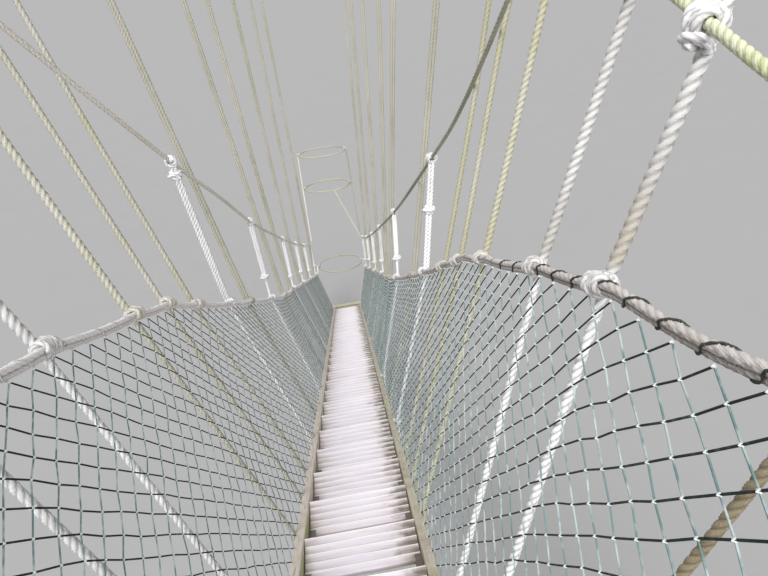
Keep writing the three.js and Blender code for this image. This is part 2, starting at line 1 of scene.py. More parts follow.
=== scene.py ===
"""Dresses the stepped rope footbridge: laid ropes, knots, side nets, treads, rails and bearers.

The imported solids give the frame. Every board, rope and net cord here is a surface worked out with
numpy, in metres, with +Z up, +Y level along the walkway towards its lower end and +X to the right.
"""
import logging
import math
from dataclasses import dataclass
from enum import Enum
from typing import TypeAlias

import bpy
import numpy as np
from mathutils import Matrix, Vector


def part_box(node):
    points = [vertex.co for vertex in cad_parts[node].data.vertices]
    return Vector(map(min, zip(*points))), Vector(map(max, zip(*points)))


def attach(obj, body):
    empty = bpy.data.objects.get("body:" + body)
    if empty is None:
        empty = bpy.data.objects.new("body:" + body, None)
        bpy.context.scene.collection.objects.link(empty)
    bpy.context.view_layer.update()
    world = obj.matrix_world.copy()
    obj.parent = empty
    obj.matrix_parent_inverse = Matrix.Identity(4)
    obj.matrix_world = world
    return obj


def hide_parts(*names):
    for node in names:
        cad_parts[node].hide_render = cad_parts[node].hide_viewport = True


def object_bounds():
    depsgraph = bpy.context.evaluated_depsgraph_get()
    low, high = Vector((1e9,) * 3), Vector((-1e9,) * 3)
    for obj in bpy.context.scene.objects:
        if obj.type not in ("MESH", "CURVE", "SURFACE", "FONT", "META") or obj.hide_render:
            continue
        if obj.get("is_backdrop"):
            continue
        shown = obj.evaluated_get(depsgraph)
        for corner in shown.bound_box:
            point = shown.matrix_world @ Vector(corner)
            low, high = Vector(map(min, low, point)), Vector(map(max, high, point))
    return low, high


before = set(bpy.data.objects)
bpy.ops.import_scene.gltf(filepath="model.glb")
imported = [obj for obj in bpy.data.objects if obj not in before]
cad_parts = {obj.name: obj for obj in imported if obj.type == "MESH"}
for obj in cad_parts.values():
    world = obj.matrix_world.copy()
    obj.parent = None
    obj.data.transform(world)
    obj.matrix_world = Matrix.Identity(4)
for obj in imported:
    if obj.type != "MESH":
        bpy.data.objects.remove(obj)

Array = np.ndarray
Colour = tuple[float, float, float]
Pair = tuple[float, float]
Material = bpy.types.Material
Socket = bpy.types.NodeSocket
Term: TypeAlias = "Value | float"

SIDES = {"left": -1, "right": 1}
ACROSS = np.array([1.0, 0.0, 0.0])
UP = np.array([0.0, 0.0, 1.0])
log = logging.getLogger("footbridge")


# Small vector helpers


def unit(vectors: Array) -> Array:
    """Each vector divided by its own length."""
    return vectors / np.linalg.norm(vectors, axis=-1, keepdims=True)


def about(reach: Array, angle: Array, first: Array, second: Array) -> Array:
    """Spokes: reach times (cos of the angle times first + sin of the angle times second)."""
    return (reach * np.cos(angle))[..., None] * first + (reach * np.sin(angle))[..., None] * second


def run_of(path: Array) -> Array:
    """Distance from the start of a path to each point: the running sum of its leg lengths."""
    return np.concatenate([[0.0], np.cumsum(np.linalg.norm(np.diff(path, axis=0), axis=1))])


def read_at(at: Array, run: Array, table: Array) -> Array:
    """Rows of a table at new distances, with straight lines between the rows at run."""
    return np.stack([np.interp(at, run, column) for column in table.T], axis=1)


def resample(path: Array, spacing: float) -> Array:
    """Points at equal distances along a path, at most spacing apart, with both ends kept."""
    run = run_of(path)
    legs = max(math.ceil(run[-1] / spacing), 2)
    return read_at(np.linspace(0.0, run[-1], legs + 1), run, path)


def soften(path: Array, reach: float, spacing: float) -> Array:
    """Rounds the corners of a path: each point becomes the mean of its neighbours within reach.

    Args:
        path: Corner points in order.
        reach: Length of path that each mean covers, in metres.
        spacing: Distance between the new points.

    Returns:
        An evenly spaced path with its ends kept, because it is mirrored about each end first.
    """
    half = 4
    fine = resample(path, reach / (2 * half))
    head = 2 * fine[0] - fine[half:0:-1]
    tail = 2 * fine[-1] - fine[-2 : -half - 2 : -1]
    padded = np.concatenate([head, fine, tail])
    kernel = np.full(2 * half + 1, 1.0 / (2 * half + 1))
    mean = np.stack([np.convolve(column, kernel, "valid") for column in padded.T], axis=1)
    return resample(mean, spacing)


def ramp(value: Array, low: float, high: float) -> Array:
    """Smooth step: 3 t^2 - 2 t^3 with t running from 0 at low to 1 at high."""
    t = np.clip((np.asarray(value, float) - low) / (high - low), 0.0, 1.0)
    return t * t * (3.0 - 2.0 * t)


def wander(at: Array, seed: int, length: float) -> Array:
    """Slow random wave from -1 to 1: random values at every length, joined by smooth steps.

    Args:
        at: Distances or coordinates, in metres.
        seed: Picks the random values.
        length: Distance between two of them.

    Returns:
        One value for each entry of at.
    """
    place = np.asarray(at, float) / length
    cell = np.floor(place)
    share = ramp(place - cell, 0.0, 1.0)

    def value(index: Array) -> Array:
        """Fraction of a large sine, spread over -1 to 1."""
        wave = np.sin(index * 127.1 + seed * 311.7) * 43758.5453
        return 2.0 * (wave - np.floor(wave)) - 1.0

    return value(cell) * (1.0 - share) + value(cell + 1.0) * share


def put(name: str, data: bpy.types.ID) -> bpy.types.Object:
    """Makes an object of its data at the origin and links it to the scene."""
    made = bpy.data.objects.new(name, data)
    bpy.context.scene.collection.objects.link(made)
    return made


class Skin:
    """Gathers closed surfaces, each a grid of points wrapped round, and makes one mesh of them."""

    def __init__(self) -> None:
        """Starts with nothing in it."""
        self.points: list[Array] = []
        self.corners: list[Array] = []
        self.sizes: list[Array] = []
        self.flat: list[Array] = []
        self.marks: dict[str, list[Array]] = {}
        self.count = 0

    def wrap(self, grid: Array, run: Array, **marks: Array | float) -> None:
        """Adds a tube: rows of points along it, each row a closed outline seen turning about it.

        Faces join (row, column), (row, column + 1), (row + 1, column + 1) and (row + 1, column),
        the last column joins the first, and one polygon closes each end.

        Args:
            grid: Points, of shape rows x columns x 3.
            run: Distance along the tube of each row, the U of its map; V goes once round.
            marks: Values kept per point, each a number or broadcastable to rows x columns.
        """
        rows, columns = grid.shape[:2]
        i, k = np.meshgrid(np.arange(rows - 1), np.arange(columns), indexing="ij")
        ring = np.arange(columns)
        row = np.stack([i, i, i + 1, i + 1], axis=-1).ravel()
        row = np.concatenate([row, 0 * ring, 0 * ring + rows - 1])
        column = np.stack([k, k + 1, k + 1, k], axis=-1).ravel()
        column = np.concatenate([column, ring[::-1], ring])
        self.corners.append(row * columns + column % columns + self.count)
        self.sizes.append(np.concatenate([np.full(i.size, 4), [columns, columns]]))
        self.flat.append(np.stack([run[row], column / columns], axis=1))
        self._keep(grid, marks)

    def shells(self, points: Array, faces: Array, **marks: Array | float) -> None:
        """Adds many equal closed shells.

        Args:
            points: Corners, of shape shells x corners x 3.
            faces: One shell's faces, rows of corner numbers of equal length, facing out.
            marks: Values kept per point, each a number or broadcastable to shells x corners.
        """
        many, corners = points.shape[:2]
        start = np.arange(many)[:, None, None] * corners + self.count
        self.corners.append((start + faces[None]).ravel())
        self.sizes.append(np.full(many * len(faces), faces.shape[1]))
        self.flat.append(np.zeros((many * faces.size, 2)))
        self._keep(points, marks)

    def _keep(self, points: Array, marks: dict) -> None:
        """Stores points and their marks, and fills marks that other surfaces have with zeros."""
        for name in set(marks) - set(self.marks):
            self.marks[name] = [np.zeros(self.count)] if self.count else []
        for name, kept in self.marks.items():
            value = np.asarray(marks.get(name, 0.0), float)
            kept.append(np.broadcast_to(value, points.shape[:2]).ravel())
        self.points.append(points.reshape(-1, 3))
        self.count += len(self.points[-1])

    def mesh(self, name: str, smooth: bool) -> bpy.types.Object:
        """Makes the mesh object.

        Args:
            name: The piece's name.
            smooth: Whether its faces are shaded smooth.

        Returns:
            The object, linked to the scene, at the origin.
        """
        data = bpy.data.meshes.new(name)
        points = np.concatenate(self.points)
        corners = np.concatenate(self.corners)
        sizes = np.concatenate(self.sizes)
        starts = np.concatenate([[0], np.cumsum(sizes)[:-1]])
        data.vertices.add(len(points))
        data.vertices.foreach_set("co", points.astype(np.float32).ravel())
        data.loops.add(len(corners))
        data.loops.foreach_set("vertex_index", corners.astype(np.int32))
        data.polygons.add(len(sizes))
        data.polygons.foreach_set("loop_start", starts.astype(np.int32))
        data.update(calc_edges=True)
        data.polygons.foreach_set("use_smooth", np.full(len(sizes), smooth))
        flat = data.uv_layers.new(name="along_and_round")
        flat.data.foreach_set("uv", np.concatenate(self.flat).astype(np.float32).ravel())
        for mark, kept in self.marks.items():
            layer = data.attributes.new(mark, "FLOAT", "POINT")
            layer.data.foreach_set("value", np.concatenate(kept).astype(np.float32))
        data.update()
        return put(name, data)


# Shader maths


class Value:
    """A number socket that adds Math nodes when it takes part in an expression."""

    def __init__(self, nodes: bpy.types.NodeTree, socket: Socket) -> None:
        """Remembers the socket and the tree it is in."""
        self.nodes = nodes
        self.socket = socket

    def apply(self, operation: str, *terms: Term, clamp: bool = False) -> "Value":
        """One Math node on terms, in their order."""
        made = self.nodes.nodes.new("ShaderNodeMath")
        made.operation = operation
        made.use_clamp = clamp
        for slot, term in zip(made.inputs, terms):
            if isinstance(term, Value):
                self.nodes.links.new(term.socket, slot)
            else:
                slot.default_value = float(term)
        return Value(self.nodes, made.outputs[0])

    def __add__(self, other: Term) -> "Value":
        """Sum."""
        return self.apply("ADD", self, other)

    __radd__ = __add__

    def __sub__(self, other: Term) -> "Value":
        """Difference."""
        return self.apply("SUBTRACT", self, other)

    def __rsub__(self, other: float) -> "Value":
        """Difference with this value last."""
        return self.apply("SUBTRACT", other, self)

    def __mul__(self, other: Term) -> "Value":
        """Product."""
        return self.apply("MULTIPLY", self, other)

    __rmul__ = __mul__

    def __pow__(self, other: float) -> "Value":
        """Power, of the value kept above nought."""
        return self.apply("POWER", self.apply("MAXIMUM", self, 0.0), other)

    def __abs__(self) -> "Value":
        """Size without the sign."""
        return self.apply("ABSOLUTE", self)

    def wave(self) -> "Value":
        """Sine of the value times a full turn."""
        return self.apply("SINE", self * math.tau)

    def between(self, low: float, high: float) -> "Value":
        """Straight rise from 0 at low to 1 at high, clamped."""
        return self.apply("ADD", (self - low) * (1.0 / (high - low)), 0.0, clamp=True)


class Shader:
    """Builds one material's nodes."""

    def __init__(self, name: str) -> None:
        """Makes an empty material with a Principled surface."""
        self.material = bpy.data.materials.new(name)
        self.material.use_nodes = True
        self.tree = self.material.node_tree
        self.surface = self.tree.nodes["Principled BSDF"]
        self.surface.inputs["IOR"].default_value = 1.45
        self.surface.inputs["Specular IOR Level"].default_value = 0.25

    def node(self, kind: str, settings: dict, **inputs: object) -> bpy.types.Node:
        """Adds a node.

        Args:
            kind: The node's type.
            settings: Its own settings, set first.
            inputs: Values or links of its sockets, by name with spaces as underscores.

        Returns:
            The node.
        """
        made = self.tree.nodes.new(kind)
        for key, value in settings.items():
            setattr(made, key, value)
        for key, value in inputs.items():
            self.feed(made.inputs[key.replace("_", " ")], value)
        return made

    def feed(self, slot: Socket, value: object) -> None:
        """Links a value or socket to a slot, or sets its number or colour."""
        if isinstance(value, Value):
            self.tree.links.new(value.socket, slot)
        elif isinstance(value, Socket):
            self.tree.links.new(value, slot)
        elif isinstance(value, tuple) and slot.type == "RGBA":
            slot.default_value = (*value, 1.0)
        else:
            slot.default_value = value

    def marks(self, *names: str) -> list[Value]:
        """The piece's own attributes of those names."""
        made = [self.node("ShaderNodeAttribute", {"attribute_name": name}) for name in names]
        return [Value(self.tree, node.outputs["Fac"]) for node in made]

    def uv(self) -> tuple[Value, Value]:
        """Distance along the piece and share of a turn round it."""
        spot = self.node("ShaderNodeTexCoord", {}).outputs["UV"]
        split = self.node("ShaderNodeSeparateXYZ", {}, Vector=spot)
        return Value(self.tree, split.outputs[0]), Value(self.tree, split.outputs[1])

    def noise(self, scale: float, detail: float = 4.0, rough: float = 0.55,
              stretch: Colour = (1.0, 1.0, 1.0), tilt: float = 0.0) -> Value:
        """Cloudy pattern from 0 to 1 in object coordinates.

        Args:
            scale: Spots in a metre, about.
            detail: How many finer patterns are added.
            rough: How strong those are.
            stretch: Further scale on X, Y and Z, after the turn.
            tilt: Turn of the coordinates about X, in radians.

        Returns:
            The pattern.
        """
        spot = self.node("ShaderNodeTexCoord", {}).outputs["Object"]
        turned = self.node("ShaderNodeMapping", {}, Vector=spot, Rotation=(tilt, 0.0, 0.0)).outputs[0]
        placed = self.node("ShaderNodeMapping", {}, Vector=turned, Scale=stretch).outputs[0]
        made = self.node("ShaderNodeTexNoise", {}, Vector=placed, Scale=scale, Detail=detail, Roughness=rough)
        return Value(self.tree, made.outputs[0])

    def coats(self, base: object, *layers: tuple[Value, Colour]) -> Socket:
        """Base colour under layers, each a share and a colour, laid on in order."""
        for share, colour in layers:
            made = self.node("ShaderNodeMix", {"data_type": "RGBA"})
            for number, value in ((0, share), (6, base), (7, colour)):
                self.feed(made.inputs[number], value)
            base = made.outputs[2]
        return base

    def relief(self, height: Value, depth: float, strength: float) -> None:
        """Bump from a height in shares of depth, in metres."""
        made = self.node("ShaderNodeBump", {}, Height=height, Distance=depth, Strength=strength)
        self.feed(self.surface.inputs["Normal"], made.outputs[0])

    def finish(self, colour: object, roughness: Term) -> Material:
        """Feeds colour and roughness, and gives the material."""
        self.feed(self.surface.inputs["Base Color"], colour)
        self.feed(self.surface.inputs["Roughness"], roughness)
        return self.material


# Finishes


@dataclass(frozen=True)
class RopeFinish:
    """Laid rope: pale crowns and painted shade in the grooves, stained in blotches and all over where very
    old.
    """

    name: str
    fresh: Colour
    aged: Colour
    # groove is the colour of the painted shade in the lay's grooves and between its yarns; shade is how
    # strong it is in the grooves.
    groove: Colour
    stain: Colour
    stain_share: float = 0.45
    shade: float = 0.5
    yarns: float = 12.0
    yarn_pitch: float = 0.02
    fluff: Colour = (0.92, 0.9, 0.84)

    def material(self) -> Material:
        """Colour from the marks age and crown, painted shade in the grooves and between the yarns, blotches
        from noise, and yarn relief from the map.

        An age of 0 is new and 1 is old; above 1.1 the stain also covers the rope more and more.
        """
        shader = Shader(self.name)
        age, crown = shader.marks("age", "crown")
        along, around = shader.uv()
        broad = shader.noise(3.2, 3.0)
        blotch = shader.noise(24.0)
        fibre = shader.noise(320.0, 3.0, 0.7)
        yarn = (around * self.yarns + along * (1.0 / self.yarn_pitch)).wave()
        blotched = (blotch + broad - 1.0).between(0.02, 0.22) * self.stain_share
        base = shader.coats(
            self.fresh,
            ((age + (broad - 0.5) * 0.7).between(0.0, 1.0), self.aged),
            (blotched * age.between(-0.6, 1.0), self.stain),
            (age.between(1.1, 1.6) * 0.8, self.stain),
            ((fibre - 0.42).between(0.0, 0.3) * 0.16, self.fluff),
            # Painted shade in the lay's grooves, where the mark crown is low.
            ((1.0 - crown).between(0.2, 1.05) * self.shade, self.groove),
            # Painted shade in the troughs between the yarns.
            (yarn.between(-1.0, -0.1) * -0.1 + 0.1, self.groove),
        )
        shader.relief(yarn * 0.35 + fibre * 0.5, 0.0009, 0.6)
        return shader.finish(base, 0.78 + blotch * 0.16)


@dataclass(frozen=True)
class BoardFinish:
    """Bleached tread board: grain along X, painted highlight on the lips, painted shade behind them and under
    each slat, brown towards both ends, darker towards the right end.
    """

    name: str
    pale: Colour = (0.80, 0.76, 0.86)
    warm: Colour = (0.72, 0.64, 0.68)
    brown: Colour = (0.40, 0.31, 0.25)
    # Colour of the darkening towards the right end and of the painted shade under the slats and on the
    # battens.
    end_dark_and_shade: Colour = (0.13, 0.105, 0.085)
    # Colour of the painted highlight on the slats' lips.
    lip_highlight: Colour = (0.95, 0.94, 0.91)

    def material(self) -> Material:
        """Streaks stretched along the board, ends from the mark across, painted highlight on the lips from
        the mark edge, painted shade from the marks back and gap.
        """
        shader = Shader(self.name)
        across, edge, gap, back, board = shader.marks("across", "edge", "gap", "back", "board")
        grain = shader.noise(1.6, 5.0, 0.62, (3.0, 60.0, 60.0))
        fine = shader.noise(1.0, 3.0, 0.6, (8.0, 260.0, 260.0))
        cloud = shader.noise(1.3, 3.0, 0.55, (2.2, 5.0, 5.0))
        streaky = shader.noise(1.0, 4.0, 0.55, (5.0, 34.0, 34.0)) - 0.5
        patch = shader.noise(1.0, 4.0, 0.6, (14.0, 26.0, 26.0))
        reach = abs(across + 0.06)
        # Painted shade: brown towards the back of each slat, behind its lit front edge, more towards the
        # ends.
        shade_behind_lip = (back * (reach ** 2.2 * 1.3 + 0.05) + streaky * 0.5).between(0.06, 0.9)
        worn = (reach * 1.6 - 1.05 + streaky * 1.6).between(0.0, 0.8)
        # Darker towards the right end, in blotches.
        right_end_dark = (across * 3.4 - 2.1 + (cloud - 0.5) * 1.4 + (patch - 0.5) * 2.6).between(0.0, 0.9)
        # Painted highlight: the lips are made light where the mark edge is high.
        bright = (edge * 1.15 - streaky.between(-0.05, 0.25) * 0.3).between(0.1, 1.0)
        base = shader.coats(
            self.pale,
            ((grain * 0.9 + cloud * 0.6 - 0.5 + board * 0.2).between(0.05, 0.75), self.warm),
            ((fine - 0.5).between(0.0, 0.2) * 0.22, self.brown),
            (shade_behind_lip * 0.6, self.brown),
            (worn * 0.5, self.brown),
            (right_end_dark * 0.82, self.end_dark_and_shade),
            (bright * 0.85, self.lip_highlight),
            # Painted shade: dark under and behind each slat and over the battens, from the mark gap.
            (gap * 0.8, self.end_dark_and_shade),
        )
        shader.relief(grain * 0.6 + fine * 0.4, 0.003, 0.5)
        return shader.finish(base, 0.8 + fine * 0.15)


@dataclass(frozen=True)
class TimberFinish:
    """Rail and bearer timber: tan with a green tinge, long grain, checks, and algae on one side."""

    name: str
    tilt: float
    along_x: bool = False
    tan: Colour = (0.40, 0.35, 0.28)
    grey: Colour = (0.46, 0.42, 0.36)
    dark: Colour = (0.15, 0.115, 0.08)
    algae: Colour = (0.36, 0.43, 0.13)
    bright: Colour = (0.62, 0.56, 0.47)
    long: float = 2.0
    wide: float = 55.0

    def material(self) -> Material:
        """Grain from noise stretched along the timber, algae from the mark moss, rims from edge."""
        shader = Shader(self.name)
        moss, edge = shader.marks("moss", "edge")
        scale = np.full(3, self.wide)
        scale[0 if self.along_x else 1] = self.long
        grain = shader.noise(1.0, 5.0, 0.6, tuple(scale), self.tilt)
        check = shader.noise(1.0, 3.0, 0.5, tuple(2.6 * scale), self.tilt)
        cloud = shader.noise(2.3)
        patch = shader.noise(11.0)
        base = shader.coats(
            self.tan,
            ((grain + cloud * 0.8 - 0.9).between(-0.2, 0.35), self.grey),
            ((cloud - 0.5).between(0.02, 0.2) * 0.45, self.algae),
            ((0.43 - check).between(0.0, 0.1) * 0.8, self.dark),
            (edge * 0.5 * patch.between(0.3, 0.6), self.bright),
            ((moss * 1.25 + (patch - 0.5) * 1.3 - 0.25).between(0.0, 0.7) * 0.85, self.algae),
        )
        shader.relief(grain * 0.7 + check * 0.5, 0.004, 0.6)
        return shader.finish(base, 0.78 + grain * 0.18)


@dataclass(frozen=True)
class NetFinish:
    """Knotted net cord: near-black one way, grey-teal the other with painted glints, and pale knots."""

    name: str
    dark: Colour = (0.013, 0.024, 0.022)
    teal: Colour = (0.15, 0.235, 0.235)
    # Colour of the painted glints on the grey-teal cords.
    glint_highlight: Colour = (0.42, 0.49, 0.49)
    knot: Colour = (0.66, 0.69, 0.68)

    def material(self) -> Material:
        """Colour from the marks pale and knot, broken up by noise, with painted highlight as glints on the
        pale cords.
        """
        shader = Shader(self.name)
        light, tied = shader.marks("pale", "knot")
        fleck, broad, glint = shader.noise(55.0, 3.0), shader.noise(1.7, 3.0), shader.noise(16.0, 3.0)
        pale = (light * (0.6 + broad * 0.9) - (fleck - 0.5) * 0.5).between(0.0, 1.0)
        base = shader.coats(
            self.dark,
            (pale, self.teal),
            # Painted highlight: glints in spots along the grey-teal cords.
            (pale * (glint - 0.45).between(0.0, 0.16), self.glint_highlight),
            ((tied * (0.45 + fleck * 1.1)).between(0.1, 0.9), self.knot),
        )
        shader.relief(shader.noise(700.0, 2.0), 0.001, 0.5)
        return shader.finish(base, 0.65 + fleck * 0.3)


# The bridge's line and its ropes' curves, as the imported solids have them


@dataclass(frozen=True)
class DeckLine:
    """The straight sloping line that the walkway follows."""

    slope: float = math.radians(20.0)
    start_y: float = 0.1205
    start_z: float = 0.07
    length: float = 17.36

    def over(self, x: Array, s: Array, h: Array) -> Array:
        """Points (x, y0 + s cos a, z0 - s sin a + h): h is straight above the line."""
        x, s, h = np.broadcast_arrays(np.asarray(x, float), s, h)
        y = self.start_y + s * math.cos(self.slope)
        return np.stack([x, y, self.start_z - s * math.sin(self.slope) + h], axis=-1)

    def read(self, points: Array) -> Array:
        """The reverse of over: x, s = (y - y0) / cos a and h = z - z0 + s sin a of points."""
        x, y, z = np.moveaxis(points, -1, 0)
        s = (y - self.start_y) / math.cos(self.slope)
        return np.stack([x, s, z - self.start_z + s * math.sin(self.slope)], axis=-1)

    def on(self, x: Array, s: Array, n: Array) -> Array:
        """Points n metres square to the walkway: y gains n sin a and z gains n cos a."""
        n = np.asarray(n, float)
        base = self.over(x, s, n * math.cos(self.slope))
        base[..., 1] += n * math.sin(self.slope)
        return base


class Profile:
    """Smooth half spacing and height through stations, by cubic Hermite pieces."""

    def __init__(self, *stations: tuple[float, float, float]) -> None:
        """Keeps the stations, given in mm, with end to end slopes between each one's neighbours."""
        table = np.array(stations) / 1000.0
        self.s, self.values = table[:, 0], table[:, 1:]
        low = np.maximum(np.arange(len(table)) - 1, 0)
        high = np.minimum(np.arange(len(table)) + 1, len(table) - 1)
        self.slopes = (self.values[high] - self.values[low]) / (self.s[high] - self.s[low])[:, None]

    def at(self, s: Array) -> tuple[Array, Array]:
        """Half spacing and height at distances s along the walkway."""
        s = np.asarray(s, float)
        k = np.clip(np.searchsorted(self.s, s) - 1, 0, len(self.s) - 2)
        width = (self.s[k + 1] - self.s[k])[..., None]
        u = (s - self.s[k])[..., None] / width
        value = (
            (2 * u**3 - 3 * u**2 + 1) * self.values[k]
            + (u**3 - 2 * u**2 + u) * width * self.slopes[k]
            + (3 * u**2 - 2 * u**3) * self.values[k + 1]
            + (u**3 - u**2) * width * self.slopes[k + 1]
        )
        return value[..., 0], value[..., 1]


class Line(Enum):
    """Long ropes that a sling hangs from or passes."""

    CABLE = "high cable"
    GUARD = "guard rope"
    APPROACH = "approach rope"


class Wear(Enum):
    """What a sling's rope looks like, as its finish's name."""

    WHITE = "white_rope"
    YELLOWED = "old_rope"
    BROWN = "brown_rope"
    OLIVE = "olive_rope"


@dataclass(frozen=True)
class Station:
    """One sling: where it is, what holds it, its rope, and how its upper part goes.

    It goes under the walkway at s. Where it leans it passes its left and right handrail at hands
    and has its tops at tops. It is doubled above a share of the way from handrail to top, and has
    a round knot at one share on the left and one on the right. Above its handrails it may be
    thicker, and it may be tied to the right guard rope as well.
    """

    s: float
    top: Line = Line.CABLE
    wear: Wear = Wear.YELLOWED
    hands: Pair | None = None
    tops: Pair | None = None
    doubled: float = 1.0
    balls: Pair | None = None
    thicker: float = 1.0
    tied_right: bool = False

    def at_hand(self, side: int) -> float:
        """Distance at which it passes a handrail."""
        return self.hands[side > 0] if self.hands else self.s

    def at_top(self, side: int) -> float:
        """Distance of one of its tops."""
        return self.tops[side > 0] if self.tops else self.s


@dataclass(frozen=True)
class Layout:
    """Where everything is, in metres but for the profiles' stations, which are in mm."""

    deck: DeckLine = DeckLine()
    hand: Profile = Profile(
        (-300, 590, 1080), (1500, 660, 1150), (2700, 700, 1230), (3700, 735, 1310),
        (4320, 750, 1400), (5610, 785, 1430), (6100, 785, 1430), (6530, 750, 1375),
        (7250, 700, 1300), (7980, 690, 1235), (8970, 630, 1165), (9850, 625, 1110),
        (11600, 640, 1080), (14400, 610, 1030), (17400, 580, 1000), (17700, 575, 1010),
    )
    guard_left: Profile = Profile(
        (4000, 1720, 3860), (5000, 1360, 3270), (6100, 1032, 2706), (6700, 897, 2466),
        (7250, 803, 2291), (7900, 730, 2156), (8970, 680, 1980), (11630, 680, 1845),
        (13930, 645, 1765), (16730, 620, 1750), (17500, 590, 1830),
    )
    guard_right: Profile = Profile(
        (4000, 1720, 3860), (5000, 1360, 3270), (5770, 1140, 2860), (6130, 1088, 2660),
        (6920, 975, 2315), (7480, 880, 2150), (8970, 742, 1903), (11630, 705, 1795),
        (13930, 665, 1725), (16730, 625, 1725), (17500, 590, 1830),
    )
    approach: Profile = Profile(
        (-350, 508, 2671), (600, 563, 1938), (1500, 633, 1527), (2300, 711, 1377), (3000, 790, 1392),
        (3500, 853, 1516), (3900, 908, 1706), (4320, 969, 1962), (4600, 1011, 2134), (5000, 1071, 2350),
        (5700, 1176, 2773), (6600, 1311, 3475), (7480, 1443, 4289),
    )
    guard_span: Pair = (4.12, 17.5)
    approach_span: Pair = (-0.35, 7.48)
    hand_span: Pair = (-0.25, 17.65)
    cable_span: Pair = (-0.3, 17.9)
    sag: float = 0.014
    rail_outer: float = 0.35
    rail_inner: float = 0.298
    rail_drop: float = 0.14 / math.cos(math.radians(20.0))
    ring_reach: float = 0.544
    ring_cord: float = 0.014
    upper_ring_y: float = -0.56
    lower_ring_y: float = 17.11406
    guard_ring_z: float = -2.11747
    stay_ring_z: float = -2.92747
    stations: tuple[Station, ...] = tuple(sorted((
        *(Station(s) for s in (0.68, 1.64, 2.64)),
        Station(3.9, wear=Wear.BROWN, hands=(3.6, 3.6), tops=(3.29, 3.29)),
        Station(4.32, wear=Wear.WHITE, hands=(4.23, 4.32), thicker=1.25),
        Station(4.73, wear=Wear.WHITE, hands=(4.76, 4.86), tops=(4.76, 4.88), thicker=1.25),
        Station(5.61, hands=(5.61, 5.74), tops=(5.61, 5.76), thicker=1.22, tied_right=True),
        Station(6.1, hands=(6.1, 6.27), tops=(6.1, 6.31), thicker=1.1),
        Station(6.53, hands=(6.53, 6.64), tops=(6.53, 6.66), thicker=1.1),
        *(Station(s, wear=Wear.OLIVE, doubled=0.0) for s in (7.98, 10.0, 11.08, 12.8, 14.65, 16.35)),
        *(Station(s, Line.GUARD, Wear.WHITE, tops=tops, doubled=doubled, balls=balls)
          for s, tops, doubled, balls in (
              (7.25, (7.1, 7.47), 0.0, (0.93, 0.56)), (8.97, (8.88, 9.3), 0.3, (0.3, 0.3)),
              (11.63, None, 0.24, (0.24, 0.28)), (13.43, None, 0.28, (0.28, 0.24)),
              (15.23, None, 0.24, (0.24, 0.3)), (16.98, None, 0.3, (0.3, 0.26)))),
    ), key=lambda one: one.s))

    def hand_sag(self, s: Array) -> Array:
        """Drop between slings: sag times 1 - (2 u - 1)^2, with u from 0 to 1 in each bay."""
        start, end = self.hand_span
        marks = np.array([start, *(one.at_hand(-1) for one in self.stations), end])
        k = np.clip(np.searchsorted(marks, s) - 1, 0, len(marks) - 2)
        u = (s - marks[k]) / (marks[k + 1] - marks[k])
        return self.sag * (1.0 - (2.0 * u - 1.0) ** 2)

    def handrail(self, side: int, s: Array) -> Array:
        """Points on the middle of a handrail."""
        x, h = self.hand.at(s)
        return self.deck.over(side * x, s, h - self.hand_sag(s))

    def rope(self, line: Line, side: int, s: Array) -> Array:
        """Points on the middle of a long rope.

        The guard and approach ropes follow their profiles. The high cable has
        z = 1.64 + 0.028 (s - 9.93)^2 and x = 0.62 + 1.9 (1 - s / 17.9)^1.8. Beyond 7.5 the right
        one drifts outwards, to 0.42 more at its end.

        Args:
            line: Which rope.
            side: 1 for the right one, -1 for the left.
            s: Distances along the walkway.

        Returns:
            One point for each distance.
        """
        s = np.asarray(s, float)
        if line is Line.CABLE:
            drift = np.maximum(s - 7.5, 0.0) * (0.42 / 10.4) * (side > 0)
            point = self.deck.over(side * (0.62 + 1.9 * np.abs(1 - s / 17.9) ** 1.8 + drift), s, 0.0)
            point[..., 2] = 1.64 + 0.028 * (s - 9.93) ** 2
            return point
        guard = self.guard_right if side > 0 else self.guard_left
        x, h = (guard if line is Line.GUARD else self.approach).at(s)
        return self.deck.over(side * x, s, h)

    def beside_ring(self, side: int, ring_y: float, z: float, cord: float, turn: float = 0.0) -> Array:
        """Point level with an end collar and just outside it, turned about it by some degrees."""
        angle = math.radians(turn)
        reach = self.ring_reach + self.ring_cord + cord + 0.0005
        return np.array([side * reach * math.cos(angle), ring_y + reach * math.sin(angle), z])


LAYOUT = Layout()


# Ropes and knots


